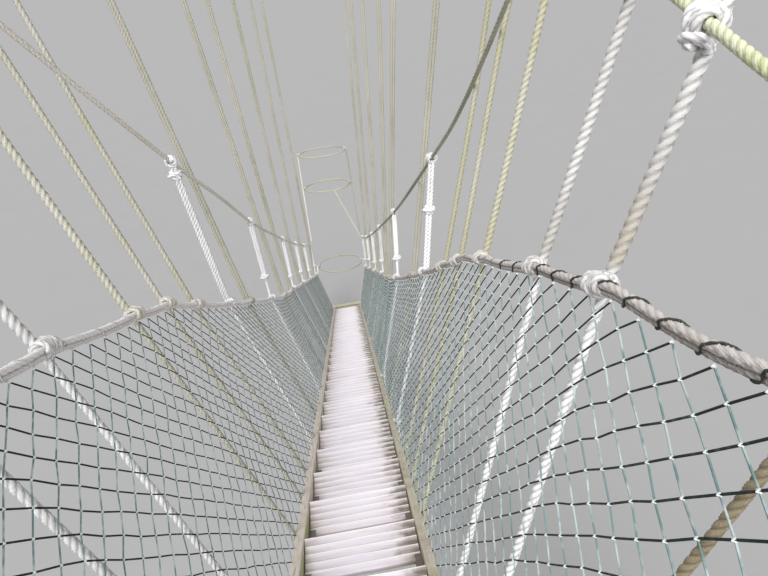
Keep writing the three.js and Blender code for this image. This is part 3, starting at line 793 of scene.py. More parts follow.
@dataclass(frozen=True)
class Lay:
    """Twisted rope: radius, length of one full twist, points round it and rows per twist."""

    radius: float
    pitch: float
    columns: int = 9
    rows: float = 7.0
    strands: int = 3
    groove: float = 0.13

    def angles(self) -> Array:
        """Equal angles round the outline, with one in each groove."""
        shift = 0.5 if self.columns // self.strands % 2 else 0.0
        return (np.arange(self.columns) + shift) * (math.tau / self.columns)

    def outline(self, angle: Array) -> Array:
        """Share of the radius: 1 - g + g |cos(n a / 2)|^0.55, with n strands and grooves g deep."""
        return 1.0 - self.groove + self.groove * np.abs(np.cos(angle * self.strands / 2)) ** 0.55

    def carry(self, skin: Skin, path: Array, side: Array, age: Array | float,
              swell: Array | float = 1.0) -> None:
        """Carries the outline along a path, turning once every pitch, and adds it to a skin.

        A point is P + r f(q) (cos(q + t) A + sin(q + t) B), where t = turn at that distance, A is
        the side vector made square to the path and B is the path's direction times A.

        Args:
            skin: Takes the surface.
            path: Middle line of the rope; it is resampled.
            side: A vector that is never along the path.
            age: 0 where the rope is new, 1 where it is old and more where it is stained all over,
                per path point or one for all.
            swell: Share of the radius, per path point or one for all.
        """
        old_run = run_of(path)
        line = resample(path, self.pitch / self.rows)
        run = run_of(line)
        share = run / run[-1] * old_run[-1]
        age, swell = (
            np.interp(share, old_run, np.broadcast_to(one, old_run.shape))[:, None] for one in (age, swell))
        ahead = unit(np.gradient(line, axis=0))
        first = unit(side - ahead * np.sum(side * ahead, axis=1, keepdims=True))
        second = np.cross(ahead, first)
        around = self.angles()
        lift = self.outline(around)
        turn = around + (run / self.pitch * math.tau)[:, None]
        grid = line[:, None] + about(self.radius * lift * swell, turn, first[:, None], second[:, None])
        # crown is 1 on the strands' crowns and 0 in the grooves, where the rope finishes paint shade.
        skin.wrap(grid, run, crown=1.0 - (1.0 - lift) / self.groove, age=age)


@dataclass(frozen=True)
class Hitch:
    """Knot: a cord wound in touching oval turns, with one turn riding back slantwise over them.

    cord is the cord's radius. middle and end are the half axes of its middle line, across and
    square to that, in the knot's middle and at its two ends. lean is how far the middle stands out
    sideways, ride is the riding turn's rise in radii of the cord, and tail is the loose end's length.
    """

    cord: float
    turns: float
    middle: Pair
    end: Pair
    lean: float = 0.0
    ride: float = 0.9
    tail: float = 0.0

    def tie(self, skin: Skin, centre: Array, axis: Array, age: float, start: float = 0.0,
            fine: bool = False, side: int = 1) -> None:
        """Winds the cord.

        Turn number t has the angle 2 pi t, and each turn lies two thirds to nine tenths of the
        cord's width farther along the axis. With w from -1 at one end to 1 at the other, the half
        axes are the end's plus (1 - w^2) times the rest of the middle's. The riding turn goes back
        over nine tenths of that, lifted by the sine of its progress to the power 0.8.

        Args:
            skin: Takes the surface.
            centre: Middle of the knot.
            axis: Direction that the turns go round.
            age: 0 for new rope to 1 for old.
            start: Angle of the first turn, in radians.
            fine: Whether it is near enough to be seen well.
            side: 1 where it leans to the right, -1 to the left.
        """
        ahead = unit(np.asarray(axis, float))
        out = unit(ACROSS - ahead * ahead[0])
        above = np.cross(out, ahead)
        t = np.linspace(0.0, 1.0, int(26 * self.turns))
        angle = np.concatenate([t * self.turns, self.turns + t * 1.1]) * math.tau + start
        w = np.concatenate([2.0 * t - 1.0, (1.0 - 2.0 * t) * 0.9])
        lift = np.concatenate([0.0 * t, self.ride * self.cord * np.sin(math.pi * t) ** 0.8])
        full = 1.0 - w**2
        wide, deep = (end + (middle - end) * full + lift for end, middle in zip(self.end, self.middle))
        path = (
            centre
            + ahead * (self.cord * (self.turns - 0.6) * w)[:, None]
            + out * (wide * np.cos(angle) + side * self.lean * full)[:, None]
            + above * (deep * np.sin(angle))[:, None]
        )
        if self.tail:
            q = np.linspace(0.08, 1.0, 8)[:, None]
            droop = unit(path[-1] - path[-2]) * q * 0.6 - UP * q**2 * 0.7
            path = np.concatenate([path, path[-1] + self.tail * droop])
        columns = 9 if fine else 6
        lay = Lay(self.cord, 8.0 * self.cord, columns, columns, groove=0.07)
        lay.carry(skin, soften(path, 2.2 * self.cord, 1.1 * self.cord), ahead, age)


class Bridge:
    """Shared by every sub-assembly: how a piece is handed over."""

    def hand_over(self, skin: Skin, name: str, material: Material, slot: str, *nodes: str,
                  smooth: bool = True) -> None:
        """Makes a skin's piece, dresses it, lets it ride on the root body and hides the solids that it
        replaces.

        Args:
            skin: The piece's surfaces.
            name: Its name.
            material: Its finish.
            slot: Not used.
            nodes: The nodes of the solids that it replaces.
            smooth: Whether its faces are shaded smooth.
        """
        piece = skin.mesh(name, smooth)
        piece.data.materials.append(material)
        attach(piece, "root")
        if nodes:
            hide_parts(*nodes)
        piece.data.calc_loop_triangles()
        log.info("%s: %d triangles", piece.name, len(piece.data.loop_triangles))


@dataclass
class Treads(Bridge):
    """37 stepped treads of five slats each, in five flights on two battens."""

    pitch: float = 0.465
    first: float = 0.42
    depth: float = 0.27
    thickness: float = 0.03
    drop: float = 0.006
    slats: int = 5
    front_half: float = 0.2965
    half: float = 0.2925
    gap: float = 0.0024
    rise: float = 0.0027
    rounding: float = 0.004
    edge_wave: float = 0.0012
    top_wave: float = 0.0009
    flights: tuple[int, ...] = (8, 8, 8, 8, 5)
    batten: tuple[float, float, float] = (0.035, 0.085, 0.135)

    def slat(self, skin: Skin, nosing: Array, index: int, seed: int) -> None:
        """One slat: a rounded outline in Y and Z carried along X, with small waves in its edges.

        Args:
            skin: Takes the surface.
            nosing: Front upper corner of the whole tread.
            index: 0 for the front slat, counting backwards.
            seed: Picks its waves.
        """
        half = self.half if index else self.front_half
        width = self.depth / self.slats
        front = nosing[1] - index * width
        back = front - width + self.gap
        top, low = nosing[2], nosing[2] - self.thickness
        rear, r = top - self.rise, self.rounding
        # Each row holds Y, Z, how much painted highlight and how much painted shade, up the front, over the
        # top and back below
        y, z, bright, underside_shade = np.array([
            (front, low + r, 0.1, 0.2), (front, top - r, 0.75, 0.0),
            (front - 0.3 * r, top - 0.3 * r, 1.0, 0.0), (front - r, top, 1.0, 0.0),
            (front - 2.6 * r, top - 0.0006, 0.45, 0.0), (back + 2 * r, rear, 0.0, 0.0),
            (back + 0.4 * r, rear - 0.3 * r, 0.0, 0.05), (back, rear - r, 0.1, 0.5),
            (back, low + r, 0.0, 1.0), (back + r, low, 0.0, 0.6), (front - r, low, 0.0, 0.5),
        ])[::-1].T
        x = np.linspace(-half, half, 18)[:, None]
        y_waved = y + self.edge_wave * wander(x + seed, seed, 0.11)
        z_waved = z + self.top_wave * wander(x, seed + 40, 0.17)
        grid = np.stack(np.broadcast_arrays(x, y_waved, z_waved), axis=-1)
        # back runs from 0 at a slat's front to 1 at its back and carries the painted shade behind the lips.
        behind = np.clip((front - y) / (front - back), 0.0, 1.0)
        tone = 0.5 + 0.5 * wander(seed * 1.7, 3, 1.0)
        skin.wrap(grid, x[:, 0] + half, across=x / 0.3, edge=bright, gap=underside_shade, back=behind, board=tone)

    def battens(self, skin: Skin, start: float, end: float) -> None:
        """Two battens: plain rectangles square to the walkway, carried down it."""
        wide, high, low = self.batten
        s = np.linspace(start, end, 24)
        for side in SIDES.values():
            near, far = sorted((side * self.front_half, side * (self.front_half - wide)))
            x, n = np.array([(near, -high), (near, -low), (far, -low), (far, -high)]).T
            # The battens take the full painted shade of the mark gap, dark as if in shadow under the treads.
            skin.wrap(LAYOUT.deck.on(x, s[:, None], n), s - start, across=x / 0.3, gap=1.0, board=0.7)

    def build(self, material: Material) -> None:
        """Makes one piece per flight."""
        done = 0
        for flight, many in enumerate(self.flights):
            skin = Skin()
            for tread in range(done, done + many):
                nosing = LAYOUT.deck.on(0.0, self.first + tread * self.pitch, -self.drop)
                for index in range(self.slats):
                    self.slat(skin, nosing, index, tread * self.slats + index)
            start = self.first + done * self.pitch - self.depth
            done += many
            self.battens(skin, start, self.first + done * self.pitch - self.depth - 0.002)
            name, node = f"flight_{flight + 1}_slats", f"tread_flight_{flight + 1}"
            self.hand_over(skin, name, material, "tread_boards", node, smooth=False)


@dataclass
class Timbers(Bridge):
    """Side rails in butted lengths and the two end bearers, with rounded worn edges."""

    joints: tuple[float, ...] = (3.62, 7.9, 12.1)
    joint_gap: float = 0.002
    section: float = 0.09
    worn: float = 0.006
    jog: float = 0.0012
    side_wave: float = 0.0009
    top_wave: float = 0.001

    def outline(self, wide: float, deep: float, steps: int = 3) -> Array:
        """Rounded rectangle about its middle: quarter turns of radius worn at each corner."""
        quarter = np.linspace(0.0, math.pi / 2, steps)
        angle = np.concatenate([quarter + k * math.pi / 2 for k in range(4)])
        corner = np.repeat([(1, 1), (-1, 1), (-1, -1), (1, -1)], steps, axis=0)
        middle = corner * (np.array([wide, deep]) / 2 - self.worn)
        return middle + self.worn * np.stack([np.cos(angle), np.sin(angle)], axis=1)

    def rail(self, side: int, word: str, material: Material) -> None:
        """One rail: the rounded outline carried down the walkway in upright sections."""
        deck, drop = LAYOUT.deck, LAYOUT.rail_drop
        faces = sorted((side * LAYOUT.rail_inner, side * LAYOUT.rail_outer))
        wide = LAYOUT.rail_outer - LAYOUT.rail_inner
        out, up = self.outline(wide, drop).T
        inner = ramp(-side * out, 0.0, wide / 2)
        green = (1.7 if side < 0 else 0.5) * inner * ramp(0.5 - up / drop, 0.0, 0.12)
        ends = [0.0, *self.joints, deck.length]
        skin = Skin()
        for k, (start, end) in enumerate(zip(ends[:-1], ends[1:])):
            start += self.joint_gap if k else 0.0
            end -= self.joint_gap if k < len(self.joints) else 0.0
            s = np.linspace(start, end, int((end - start) / self.section))[:, None]
            jog = self.jog * wander(k + 0.5, 11 + side, 1.0)
            x = sum(faces) / 2 + out * 0.985 + jog + self.side_wave * wander(s, 21 + side, 0.5)
            h = -drop / 2 + up * 0.99 + self.top_wave * wander(s, 31 + side, 0.8)
            grid = deck.over(np.clip(x, *faces), s, np.minimum(h, 0.0))
            moss = np.clip(0.55 + 0.75 * wander(s, 5 + side, 0.33), 0, 1.3) * green
            skin.wrap(grid, s[:, 0], moss=moss, edge=ramp(up, drop * 0.44, drop * 0.5))
        self.hand_over(skin, f"rail_{word}_timber", material, "timber", f"rail_{word}", smooth=False)

    def bearer(self, node: str, material: Material) -> None:
        """One end bearer: the rounded outline carried across the walkway."""
        low, high = (np.array(corner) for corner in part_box(node))
        _, wide, deep = high - low
        out, up = self.outline(wide, deep, 4).T
        x = np.linspace(low[0], high[0], 40)[:, None]
        y, z = (low[1] + high[1]) / 2 + out, (low[2] + high[2]) / 2 + up
        moss = np.clip(0.35 + 0.5 * wander(x, 9, 0.2), 0, 1)
        skin = Skin()
        grid = np.stack(np.broadcast_arrays(x, y, z), axis=-1)
        skin.wrap(grid, x[:, 0] - x[0], moss=moss, edge=ramp(up, deep * 0.44, deep * 0.5))
        self.hand_over(skin, node + "_beam", material, "timber", node, smooth=False)

    def build(self, rails: dict[int, Material], beam: Material) -> None:
        """Makes both rails, each with its own finish, and both bearers."""
        for word, side in SIDES.items():
            self.rail(side, word, rails[side])
        for node in ("upper_bearer", "lower_bearer"):
            self.bearer(node, beam)


@dataclass
class LongRopes(Bridge):
    """The ropes that run the length of the bridge.

    Each half is half the thickness of a rope of the solids, by which its end stands off a collar;
    the stay's is 2 mm less, because the stay nips its collar. A sleeve has a radius, a ripple on it
    and a radius at its ends.
    """

    upper: Lay = Lay(0.0122, 0.108, 9, 8.0, groove=0.15)
    lower: Lay = Lay(0.0094, 0.076, 6, 7.0, groove=0.12)
    guard: Lay = Lay(0.014, 0.096, 9, 7.0)
    approach: Lay = Lay(0.0142, 0.088, 12, 8.0, groove=0.16)
    cable: Lay = Lay(0.015, 0.11, 6, 7.0)
    stay: Lay = Lay(0.008, 0.06, 6, 5.0)
    high: float = 0.0082
    low: float = -0.0112
    lashing_pitch: float = 0.152
    lashing: Pair = (0.0031, 0.0021)
    lacing_inset: float = 0.2
    black_until: float = 5.3
    sway: float = 0.0025
    hand_half: float = 0.02
    guard_half: float = 0.014
    approach_half: float = 0.016
    stay_half: float = 0.006
    sleeve: tuple[float, float, float] = (0.0245, 0.0035, 0.014)
    sleeve_length: float = 0.235
    sleeve_turn: float = 0.0125
    stay_foot: float = 17.1
    stay_inset: float = 0.0226

    def pair(self, side: int) -> tuple[Array, Array, Array, Array]:
        """Middle line of a handrail, its running length, and its upper and lower rope.

        The ropes sway a little about the handrail's line, sideways in opposite directions.
        """
        middle = LAYOUT.handrail(side, np.arange(*LAYOUT.hand_span, 0.02))
        head = LAYOUT.beside_ring(side, LAYOUT.upper_ring_y, middle[0, 2], self.hand_half)
        tail = LAYOUT.beside_ring(side, LAYOUT.lower_ring_y, middle[-1, 2], self.hand_half)
        line = soften(np.concatenate([[head], middle, [tail]]), 0.12, 0.02)
        run = run_of(line)
        sway = self.sway * wander(run, 3 + side, 0.21)[:, None]
        high = line + UP * (self.high + 0.3 * sway) + ACROSS * sway
        low = line + UP * (self.low + 0.3 * sway) - ACROSS * 1.2 * sway
        return line, run, high, low

    def handrail(self, word: str, side: int, material: Material) -> None:
        """Two ropes, one above the other."""
        _, run, high, low = self.pair(side)
        skin = Skin()
        self.upper.carry(skin, high, ACROSS, 0.2 + 0.35 * wander(run, 8, 0.6))
        self.lower.carry(skin, low, ACROSS, 0.85 + 0.2 * wander(run, 9, 0.7))
        self.hand_over(skin, f"handrail_{word}_pair", material, "handrail_rope", f"handrail_{word}")

    def lacing(self, name: str, side: int, span: Pair, cord: float, material: Material) -> None:
        """Thin cord wound round both ropes of the handrail, one turn a pitch.

        At an angle a round the pair the cord's middle is (r + c) (cos a, sin a) from the middle of
        the upper rope where sin a is above (r2 - r1) / (z1 - z2), and otherwise from the lower
        rope's, with r the rope's radius and c part of the cord's: a belt lying tight on both.

        Args:
            name: The piece's name.
            side: 1 for the right handrail, -1 for the left.
            span: Distances along the walkway between which it is wound.
            cord: The cord's radius.
            material: Its finish.
        """
        line, run, high, low = self.pair(side)
        fine = np.arange(*np.interp(span, LAYOUT.deck.read(line)[:, 1], run), 0.006)
        turn = side * (fine / self.lashing_pitch + 0.35 * wander(fine, 14 + side, 0.4)) * math.tau
        on_upper = np.sin(turn) > (self.lower.radius - self.upper.radius) / (self.high - self.low)
        reach = np.where(on_upper, self.upper.radius, self.lower.radius) + cord * 0.3
        middle = np.where(on_upper[:, None], read_at(fine, run, high), read_at(fine, run, low))
        path = middle + about(reach, turn, ACROSS, UP)
        skin = Skin()
        Lay(cord, 0.09, 4, 8.5).carry(skin, resample(path, 0.0105), (0.2, 0.3, 0.1), 0.5)
        self.hand_over(skin, name, material, "net_cord")

    def single(self, node: str, path: list[Array], lay: Lay, slot: str, material: Material,
               age: float, seed: int) -> None:
        """One laid rope that stands for a node, older and newer by slow waves.

        Args:
            node: The node's name.
            path: Parts of its middle line, each a point or points in order.
            lay: Its twist.
            slot: A slot name, passed on to hand_over.
            material: Its finish.
            age: Its mean age.
            seed: Picks its waves.
        """
        line = soften(np.concatenate([np.atleast_2d(part) for part in path]), 0.12, 0.03)
        skin = Skin()
        lay.carry(skin, line, ACROSS, age + 0.25 * wander(run_of(line), seed, 0.5))
        self.hand_over(skin, node + "_laid", material, slot, node)

    def high_cable(self, word: str, side: int, material: Material) -> None:
        """High cable with served ends: bound sleeves whose radius ripples along them."""
        path = LAYOUT.rope(Line.CABLE, side, np.linspace(*LAYOUT.cable_span, 240))
        skin = Skin()
        self.cable.carry(skin, path, ACROSS, 0.6 + 0.3 * wander(run_of(path), 17, 0.7))
        t = np.linspace(0.0, self.sleeve_length, 76)
        radius, ripple, end_radius = self.sleeve
        body = radius + ripple * np.abs(np.sin(t / self.sleeve_turn * math.pi))
        body = body * (1.0 - 0.25 * ramp(t, 0.17, self.sleeve_length))
        body[0] = body[-1] = end_radius
        around = np.arange(14) * math.tau / 14
        for end, after in ((path[0], path[3]), (path[-1], path[-4])):
            ahead = unit(after - end)
            first = unit(np.cross(ahead, UP))
            spokes = about(body[:, None], around, first, np.cross(ahead, first))
            skin.wrap((end + ahead * t[:, None])[:, None] + spokes, t, crown=0.75, age=0.75)
        self.hand_over(skin, f"high_cable_{word}_rope", material, "dark_rope", f"high_cable_{word}")

    def build(self, finishes: dict[str, Material]) -> None:
        """Makes all of them, one of each per side, and the stay."""
        mossy, plain = finishes["mossy_rope"], finishes["handrail_rope_right"]
        for word, side in SIDES.items():
            self.handrail(word, side, finishes[f"handrail_rope_{word}"])
            guard = LAYOUT.rope(Line.GUARD, side, np.linspace(*LAYOUT.guard_span, 240))
            end = LAYOUT.beside_ring(side, LAYOUT.lower_ring_y, LAYOUT.guard_ring_z, self.guard_half)
            finish = finishes[f"guard_rope_{word}"]
            self.single(f"guard_rope_{word}", [guard, end], self.guard, "dark_rope", finish, 0.4, 23)
            near = LAYOUT.rope(Line.APPROACH, side, np.linspace(*LAYOUT.approach_span, 160))
            head = LAYOUT.beside_ring(side, LAYOUT.upper_ring_y, near[0, 2], self.approach_half, 15.0)
            self.single(f"approach_rope_{word}", [head, near], self.approach, "old_rope", mossy, 0.6, 29)
            self.high_cable(word, side, finishes["guard_rope_right"])
        black, thin = self.lashing
        first, last = self.lacing_inset, LAYOUT.deck.length - self.lacing_inset
        self.lacing("handrail_left_lacing", -1, (first, last), thin, finishes["handrail_rope_left"])
        self.lacing("handrail_right_lacing", 1, (first, self.black_until), black, finishes["lacing_cord"])
        self.lacing("handrail_right_far_lacing", 1, (self.black_until, last), thin, plain)
        head = LAYOUT.beside_ring(1, LAYOUT.lower_ring_y, LAYOUT.stay_ring_z, self.stay_half, -75.0)
        foot = LAYOUT.rope(Line.GUARD, 1, self.stay_foot) - ACROSS * self.stay_inset
        self.single("lower_stay", [head, foot], self.stay, "old_rope", mossy, 0.4, 31)


@dataclass
class Slings(Bridge):
    """Each sling: under both rails, up past the handrails and on to what holds it, with its knots."""

    near: Lay = Lay(0.0144, 0.086, 9, 7.5)
    far: Lay = Lay(0.0150, 0.086, 6, 6.5)
    brown: Lay = Lay(0.0108, 0.074, 12, 10.0, groove=0.17)
    near_span: Pair = (3.0, 7.6)
    side_x: float = 0.3635
    under: float = (0.14 + 0.0135) / math.cos(math.radians(20.0))
    above_rail: float = 0.013
    beside: float = 0.03
    below_top: float = 0.012
    free_top: float = 0.24
    apart: float = 0.0112
    guard_room: float = 0.0286
    approach_room: float = 0.0322
    probe: float = 0.05
    hand_lift: float = 0.006
    under_drop: float = 0.047
    under_out: float = 0.01
    foot_spot: Pair = (0.3655, 0.018)
    hand_knot: Hitch = Hitch(0.0100, 5.0, (0.031, 0.024), (0.021, 0.021), 0.014, ride=0.6)
    cable_knot: Hitch = Hitch(0.0112, 2.8, (0.029, 0.029), (0.025, 0.025))
    guard_knot: Hitch = Hitch(0.0112, 3.2, (0.030, 0.030), (0.022, 0.022), ride=0.7)
    approach_knot: Hitch = Hitch(0.0112, 3.2, (0.031, 0.031), (0.024, 0.024), 0.006)
    crossing_knot: Hitch = Hitch(0.0105, 2.8, (0.033, 0.031), (0.025, 0.025), tail=0.04)
    under_knot: Hitch = Hitch(0.0112, 1.7, (0.026, 0.025), (0.024, 0.022))
    ball_knot: Hitch = Hitch(0.0114, 2.8, (0.034, 0.027), (0.025, 0.020))
    foot_knot: Hitch = Hitch(0.0085, 2.2, (0.022, 0.022), (0.019, 0.019))

    def beginning(self, one: Station, side: int) -> Array:
        """Where a sling passes a handrail, as (x, s, h), x outwards."""
        x, h = LAYOUT.hand.at(one.at_hand(side))
        return np.array([x + self.beside, one.at_hand(side), h])

    def summit(self, one: Station, side: int) -> Array:
        """Top of a sling, just under the middle of what holds it, as (x, s, h)."""
        x, s, h = LAYOUT.deck.read(LAYOUT.rope(one.top, side, one.at_top(side)))
        return np.array([abs(x), s, h - self.below_top])

    def met(self, one: Station, side: int, line: Line) -> Array:
        """Point (x, s, h) of a rope where a sling's straight upper part is level with it.

        The part's share t = (h - h0) / (h1 - h0) gives its distance s0 + t (s1 - s0), whose rope
        height is the next h; that is worked out four times over.
        """
        start, top = self.beginning(one, side), self.summit(one, side)
        s = start[1]
        for _ in range(4):
            spot = LAYOUT.deck.read(LAYOUT.rope(line, side, s))
            s = start[1] + (top[1] - start[1]) * (spot[2] - start[2]) / (top[2] - start[2])
        return np.array([abs(spot[0]), s, spot[2]])

    def half(self, one: Station, side: int) -> Array:
        """Corners of one side of a sling as (x, s, h), with room left where it passes a rope."""
        start, top = self.beginning(one, side), self.summit(one, side)
        passed = []
        if one.top is Line.CABLE and LAYOUT.guard_span[0] < one.s < LAYOUT.guard_span[1]:
            room = self.guard_room + (self.apart if one.doubled < 1.0 else 0.0)
            passed.append((*self.met(one, side, Line.GUARD), room))
        if one.top is Line.CABLE and one.s < LAYOUT.approach_span[1]:
            passed.append((*self.met(one, side, Line.APPROACH), self.approach_room))
        corners = [(self.side_x, one.s, -self.under), (self.side_x, one.s, self.above_rail), start]
        for rope_x, _, height, room in sorted(passed, key=lambda item: item[2]):
            if height < top[2] - self.free_top:
                here = start + (top - start) * (height - start[2]) / (top[2] - start[2])
                if abs(here[0] - rope_x) < room:
                    here[0] = rope_x + math.copysign(room, here[0] - rope_x)
                corners.append(here)
        return np.array([*corners, top])

    def upward(self, one: Station, side: int, share: float) -> Array:
        """Point (x, s, h) at a share of the straight way from a handrail to a sling's top."""
        return self.beginning(one, side) * (1.0 - share) + self.summit(one, side) * share

    def build(self, finishes: dict[str, Material]) -> None:
        """Makes one piece per sling, with its knots."""
        for index, one in enumerate(LAYOUT.stations):
            skin = Skin()
            near = self.near_span[0] < one.s < self.near_span[1]
            self.rope(skin, one, near, index * 7)
            self.knots(skin, one, near, index * 7)
            slot = "white_rope" if one.wear is Wear.WHITE else "old_rope"
            node = f"sling_{index + 1:02d}"
            self.hand_over(skin, node + "_laid", finishes[one.wear.value], slot, node)

    def rope(self, skin: Skin, one: Station, near: bool, seed: int) -> None:
        """The rope from top to top; above its balls it moves inwards and a second one lies beside it.

        Args:
            skin: Takes the surfaces.
            one: The sling.
            near: Whether it is near enough to be seen well.
            seed: Picks its blotches.
        """
        deck = LAYOUT.deck
        lay = self.brown if one.wear is Wear.BROWN else self.near if near else self.far
        corners = np.concatenate([self.half(one, -1)[::-1] * [-1.0, 1.0, 1.0], self.half(one, 1)])
        path = soften(deck.over(*corners.T), 0.06, 0.012)
        x, _, h = deck.read(path).T
        on_side = {side: side * x > 0.0 for side in SIDES.values()}
        age = np.full(len(path), 0.5)
        if one.wear is Wear.YELLOWED:
            age[on_side[1]] = 0.9
        swell = np.ones(len(path))
        for side, here in on_side.items():
            rise = h - self.beginning(one, side)[2]
            swell += (one.thicker - 1.0) * here * ramp(rise, -0.02, 0.04)
            if one.wear is Wear.WHITE:
                share = (1.0 if side > 0 else 0.6) if one.top is Line.CABLE else 0.08
                old = 1.45 * ramp(rise, 0.0, 0.06) - 0.7 * ramp(rise, 0.05, 0.4)
                age = np.where(here, 0.02 + old * share, age)
        age = age + 0.25 * wander(run_of(path), seed, 0.45)
        if one.doubled < 1.0:
            for side, here in on_side.items():
                height = self.upward(one, side, one.doubled)[2]
                shift = (ramp(h, height - 0.02, height + 0.05) * here * side * self.apart)[:, None] * ACROSS
                pick = here & (h > height - 0.01)
                lay.carry(skin, (path + shift)[pick], (0.0, 1.0, 0.0), age[pick])
                path = path - shift
        lay.carry(skin, path, (0.0, 1.0, 0.0), age, swell)

    def knots(self, skin: Skin, one: Station, near: bool, seed: int) -> None:
        """Hitches at handrails, tops and ropes that a sling passes and is tied to, and its balls."""
        new, on_cable = one.wear is Wear.WHITE, one.top is Line.CABLE
        reach = np.array([-self.probe, 0.0, self.probe])
        age = 0.5 if new and on_cable else 0.15
        for side in SIDES.values():
            if one.wear is not Wear.BROWN:
                hand = LAYOUT.handrail(side, one.at_hand(side) + reach)
                spot, axis = hand[1] + UP * self.hand_lift, hand[2] - hand[0]
                self.hand_knot.tie(skin, spot, axis, age, seed * 0.7, near, side)
            held = LAYOUT.rope(one.top, side, one.at_top(side) + reach)
            rise = (self.summit(one, side) - self.beginning(one, side)) * [side, 0.0, 1.0]
            if on_cable:
                self.cable_knot.tie(skin, held[1], held[2] - held[0], age + 0.3, seed * 0.9, near)
            else:
                axis = held[2] - held[0] + 0.07 * unit(rise)
                self.guard_knot.tie(skin, held[1], axis, age, seed * 0.9, near)
            if new and on_cable:
                self.bundle(skin, one, side, Line.APPROACH, self.approach_knot, rise, seed)
            if one.tied_right and side > 0:
                self.bundle(skin, one, side, Line.GUARD, self.crossing_knot, rise, seed)
            if one.balls:
                x, s, h = self.upward(one, side, one.balls[side > 0])
                self.ball_knot.tie(skin, LAYOUT.deck.over(side * x, s, h), rise, 0.0, seed * 1.3, near)
                foot = LAYOUT.deck.over(side * self.foot_spot[0], one.s, self.foot_spot[1])
                self.foot_knot.tie(skin, foot, UP, 0.0, seed * 0.4)

    def bundle(self, skin: Skin, one: Station, side: int, line: Line, knot: Hitch, rise: Array,
               seed: int) -> None:
        """A hitch round a rope that a sling passes, and another round the sling itself just below."""
        spot = self.met(one, side, line)
        held = LAYOUT.rope(line, side, spot[1] + np.array([-self.probe, 0.0, self.probe]))
        knot.tie(skin, held[1], held[2] - held[0], 0.0, seed * 1.1, True, side)
        below = held[1] - unit(rise) * self.under_drop + ACROSS * side * self.under_out
        self.under_knot.tie(skin, below, rise, 0.0, seed * 0.5 + 1.0, True)


@dataclass
class Nets(Bridge):
    """Side nets of knotted cord in a diamond mesh between rail and handrail."""

    foot_x: float = 0.34
    foot_h: float = 0.008
    head_inset: float = 0.006
    head_drop: float = 0.0245
    inset: float = 0.15
    half_step: float = 0.0675
    half_rows: int = 28
    cord: float = 0.0029
    knot: float = 0.0062
    bulge: float = 0.012
    uneven: tuple[float, float, float] = (0.004, 0.003, 0.003)

    def surface(self, side: int, s: Array, v: Array) -> Array:
        """Straight line from the rail's top to just under the handrail, v from 0 to 1 up it."""
        x, h = LAYOUT.hand.at(s)
        foot = LAYOUT.deck.over(side * self.foot_x, s, self.foot_h)
        head = LAYOUT.deck.over(side * (x - self.head_inset), s, h - LAYOUT.hand_sag(s) - self.head_drop)
        return foot + (head - foot) * v[..., None]

    def strands(self, skin: Skin, start: Array, end: Array, pale: float) -> None:
        """Three-sided cords between pairs of points, each a closed prism with two end faces."""
        ahead = unit(end - start)
        first = unit(np.cross(ahead, [0.05, 0.3, 1.0]))
        radius = self.cord * (0.92 if pale else 1.0)
        spoke = about(radius, np.arange(3) * math.tau / 3, first[:, None], np.cross(ahead, first)[:, None])
        points = np.concatenate([start[:, None] + spoke, end[:, None] + spoke], axis=1)
        faces = "014 043 125 154 203 235 210 345"
        skin.shells(points, np.array([list(face) for face in faces.split()], int), pale=pale)

    def knots(self, skin: Skin, spots: Array, pale: float) -> None:
        """Eight-faced knots about points, as pale as asked."""
        tips = np.array([(1, 0, 0), (0, 1, 0), (-1, 0, 0), (0, -1, 0), (0, 0, 1), (0, 0, -1)], float)
        faces = "014 124 234 304 105 215 325 035"
        faces = np.array([list(face) for face in faces.split()], int)
        skin.shells(spots[:, None] + self.knot * tips, faces, knot=pale, pale=0.6)

    def build(self, material: Material) -> None:
        """Makes one net per side; even sums of column and row are knots, strands join diagonals."""
        length = LAYOUT.deck.length
        columns = int((length - 2 * self.inset) / self.half_step) // 2 * 2
        edges = np.linspace(self.inset, length - self.inset, columns + 1)
        rows = np.linspace(0.0, 1.0, self.half_rows + 1)
        free = (rows > 0.0) & (rows < 1.0)
        even = np.add.outer(np.arange(columns + 1), np.arange(self.half_rows + 1)) % 2 == 0
        rising, falling = even[:-1, :-1], even[1:, :-1]
        for word, side in SIDES.items():
            random = np.random.default_rng(7 + side)
            s, v = np.meshgrid(edges, rows, indexing="ij")
            along, up, out = (random.uniform(-most, most, s.shape) * free for most in self.uneven)
            s, v = s + along, v + up
            grid = self.surface(side, s, v)
            grid[..., 0] += side * (self.bulge * wander(s, 6, 0.9) * np.sin(math.pi * v) + out)
            bright = 1.0 if side > 0 else 0.75
            skin = Skin()
            self.strands(skin, grid[:-1, :-1][rising], grid[1:, 1:][rising], bright)
            self.strands(skin, grid[1:, :-1][falling], grid[:-1, 1:][falling], 0.0)
            self.knots(skin, grid[even], bright)
            nodes = (f"net_{word}_upper", f"net_{word}_lower")
            self.hand_over(skin, f"net_{word}_mesh", material, "net_cord", *nodes, smooth=False)


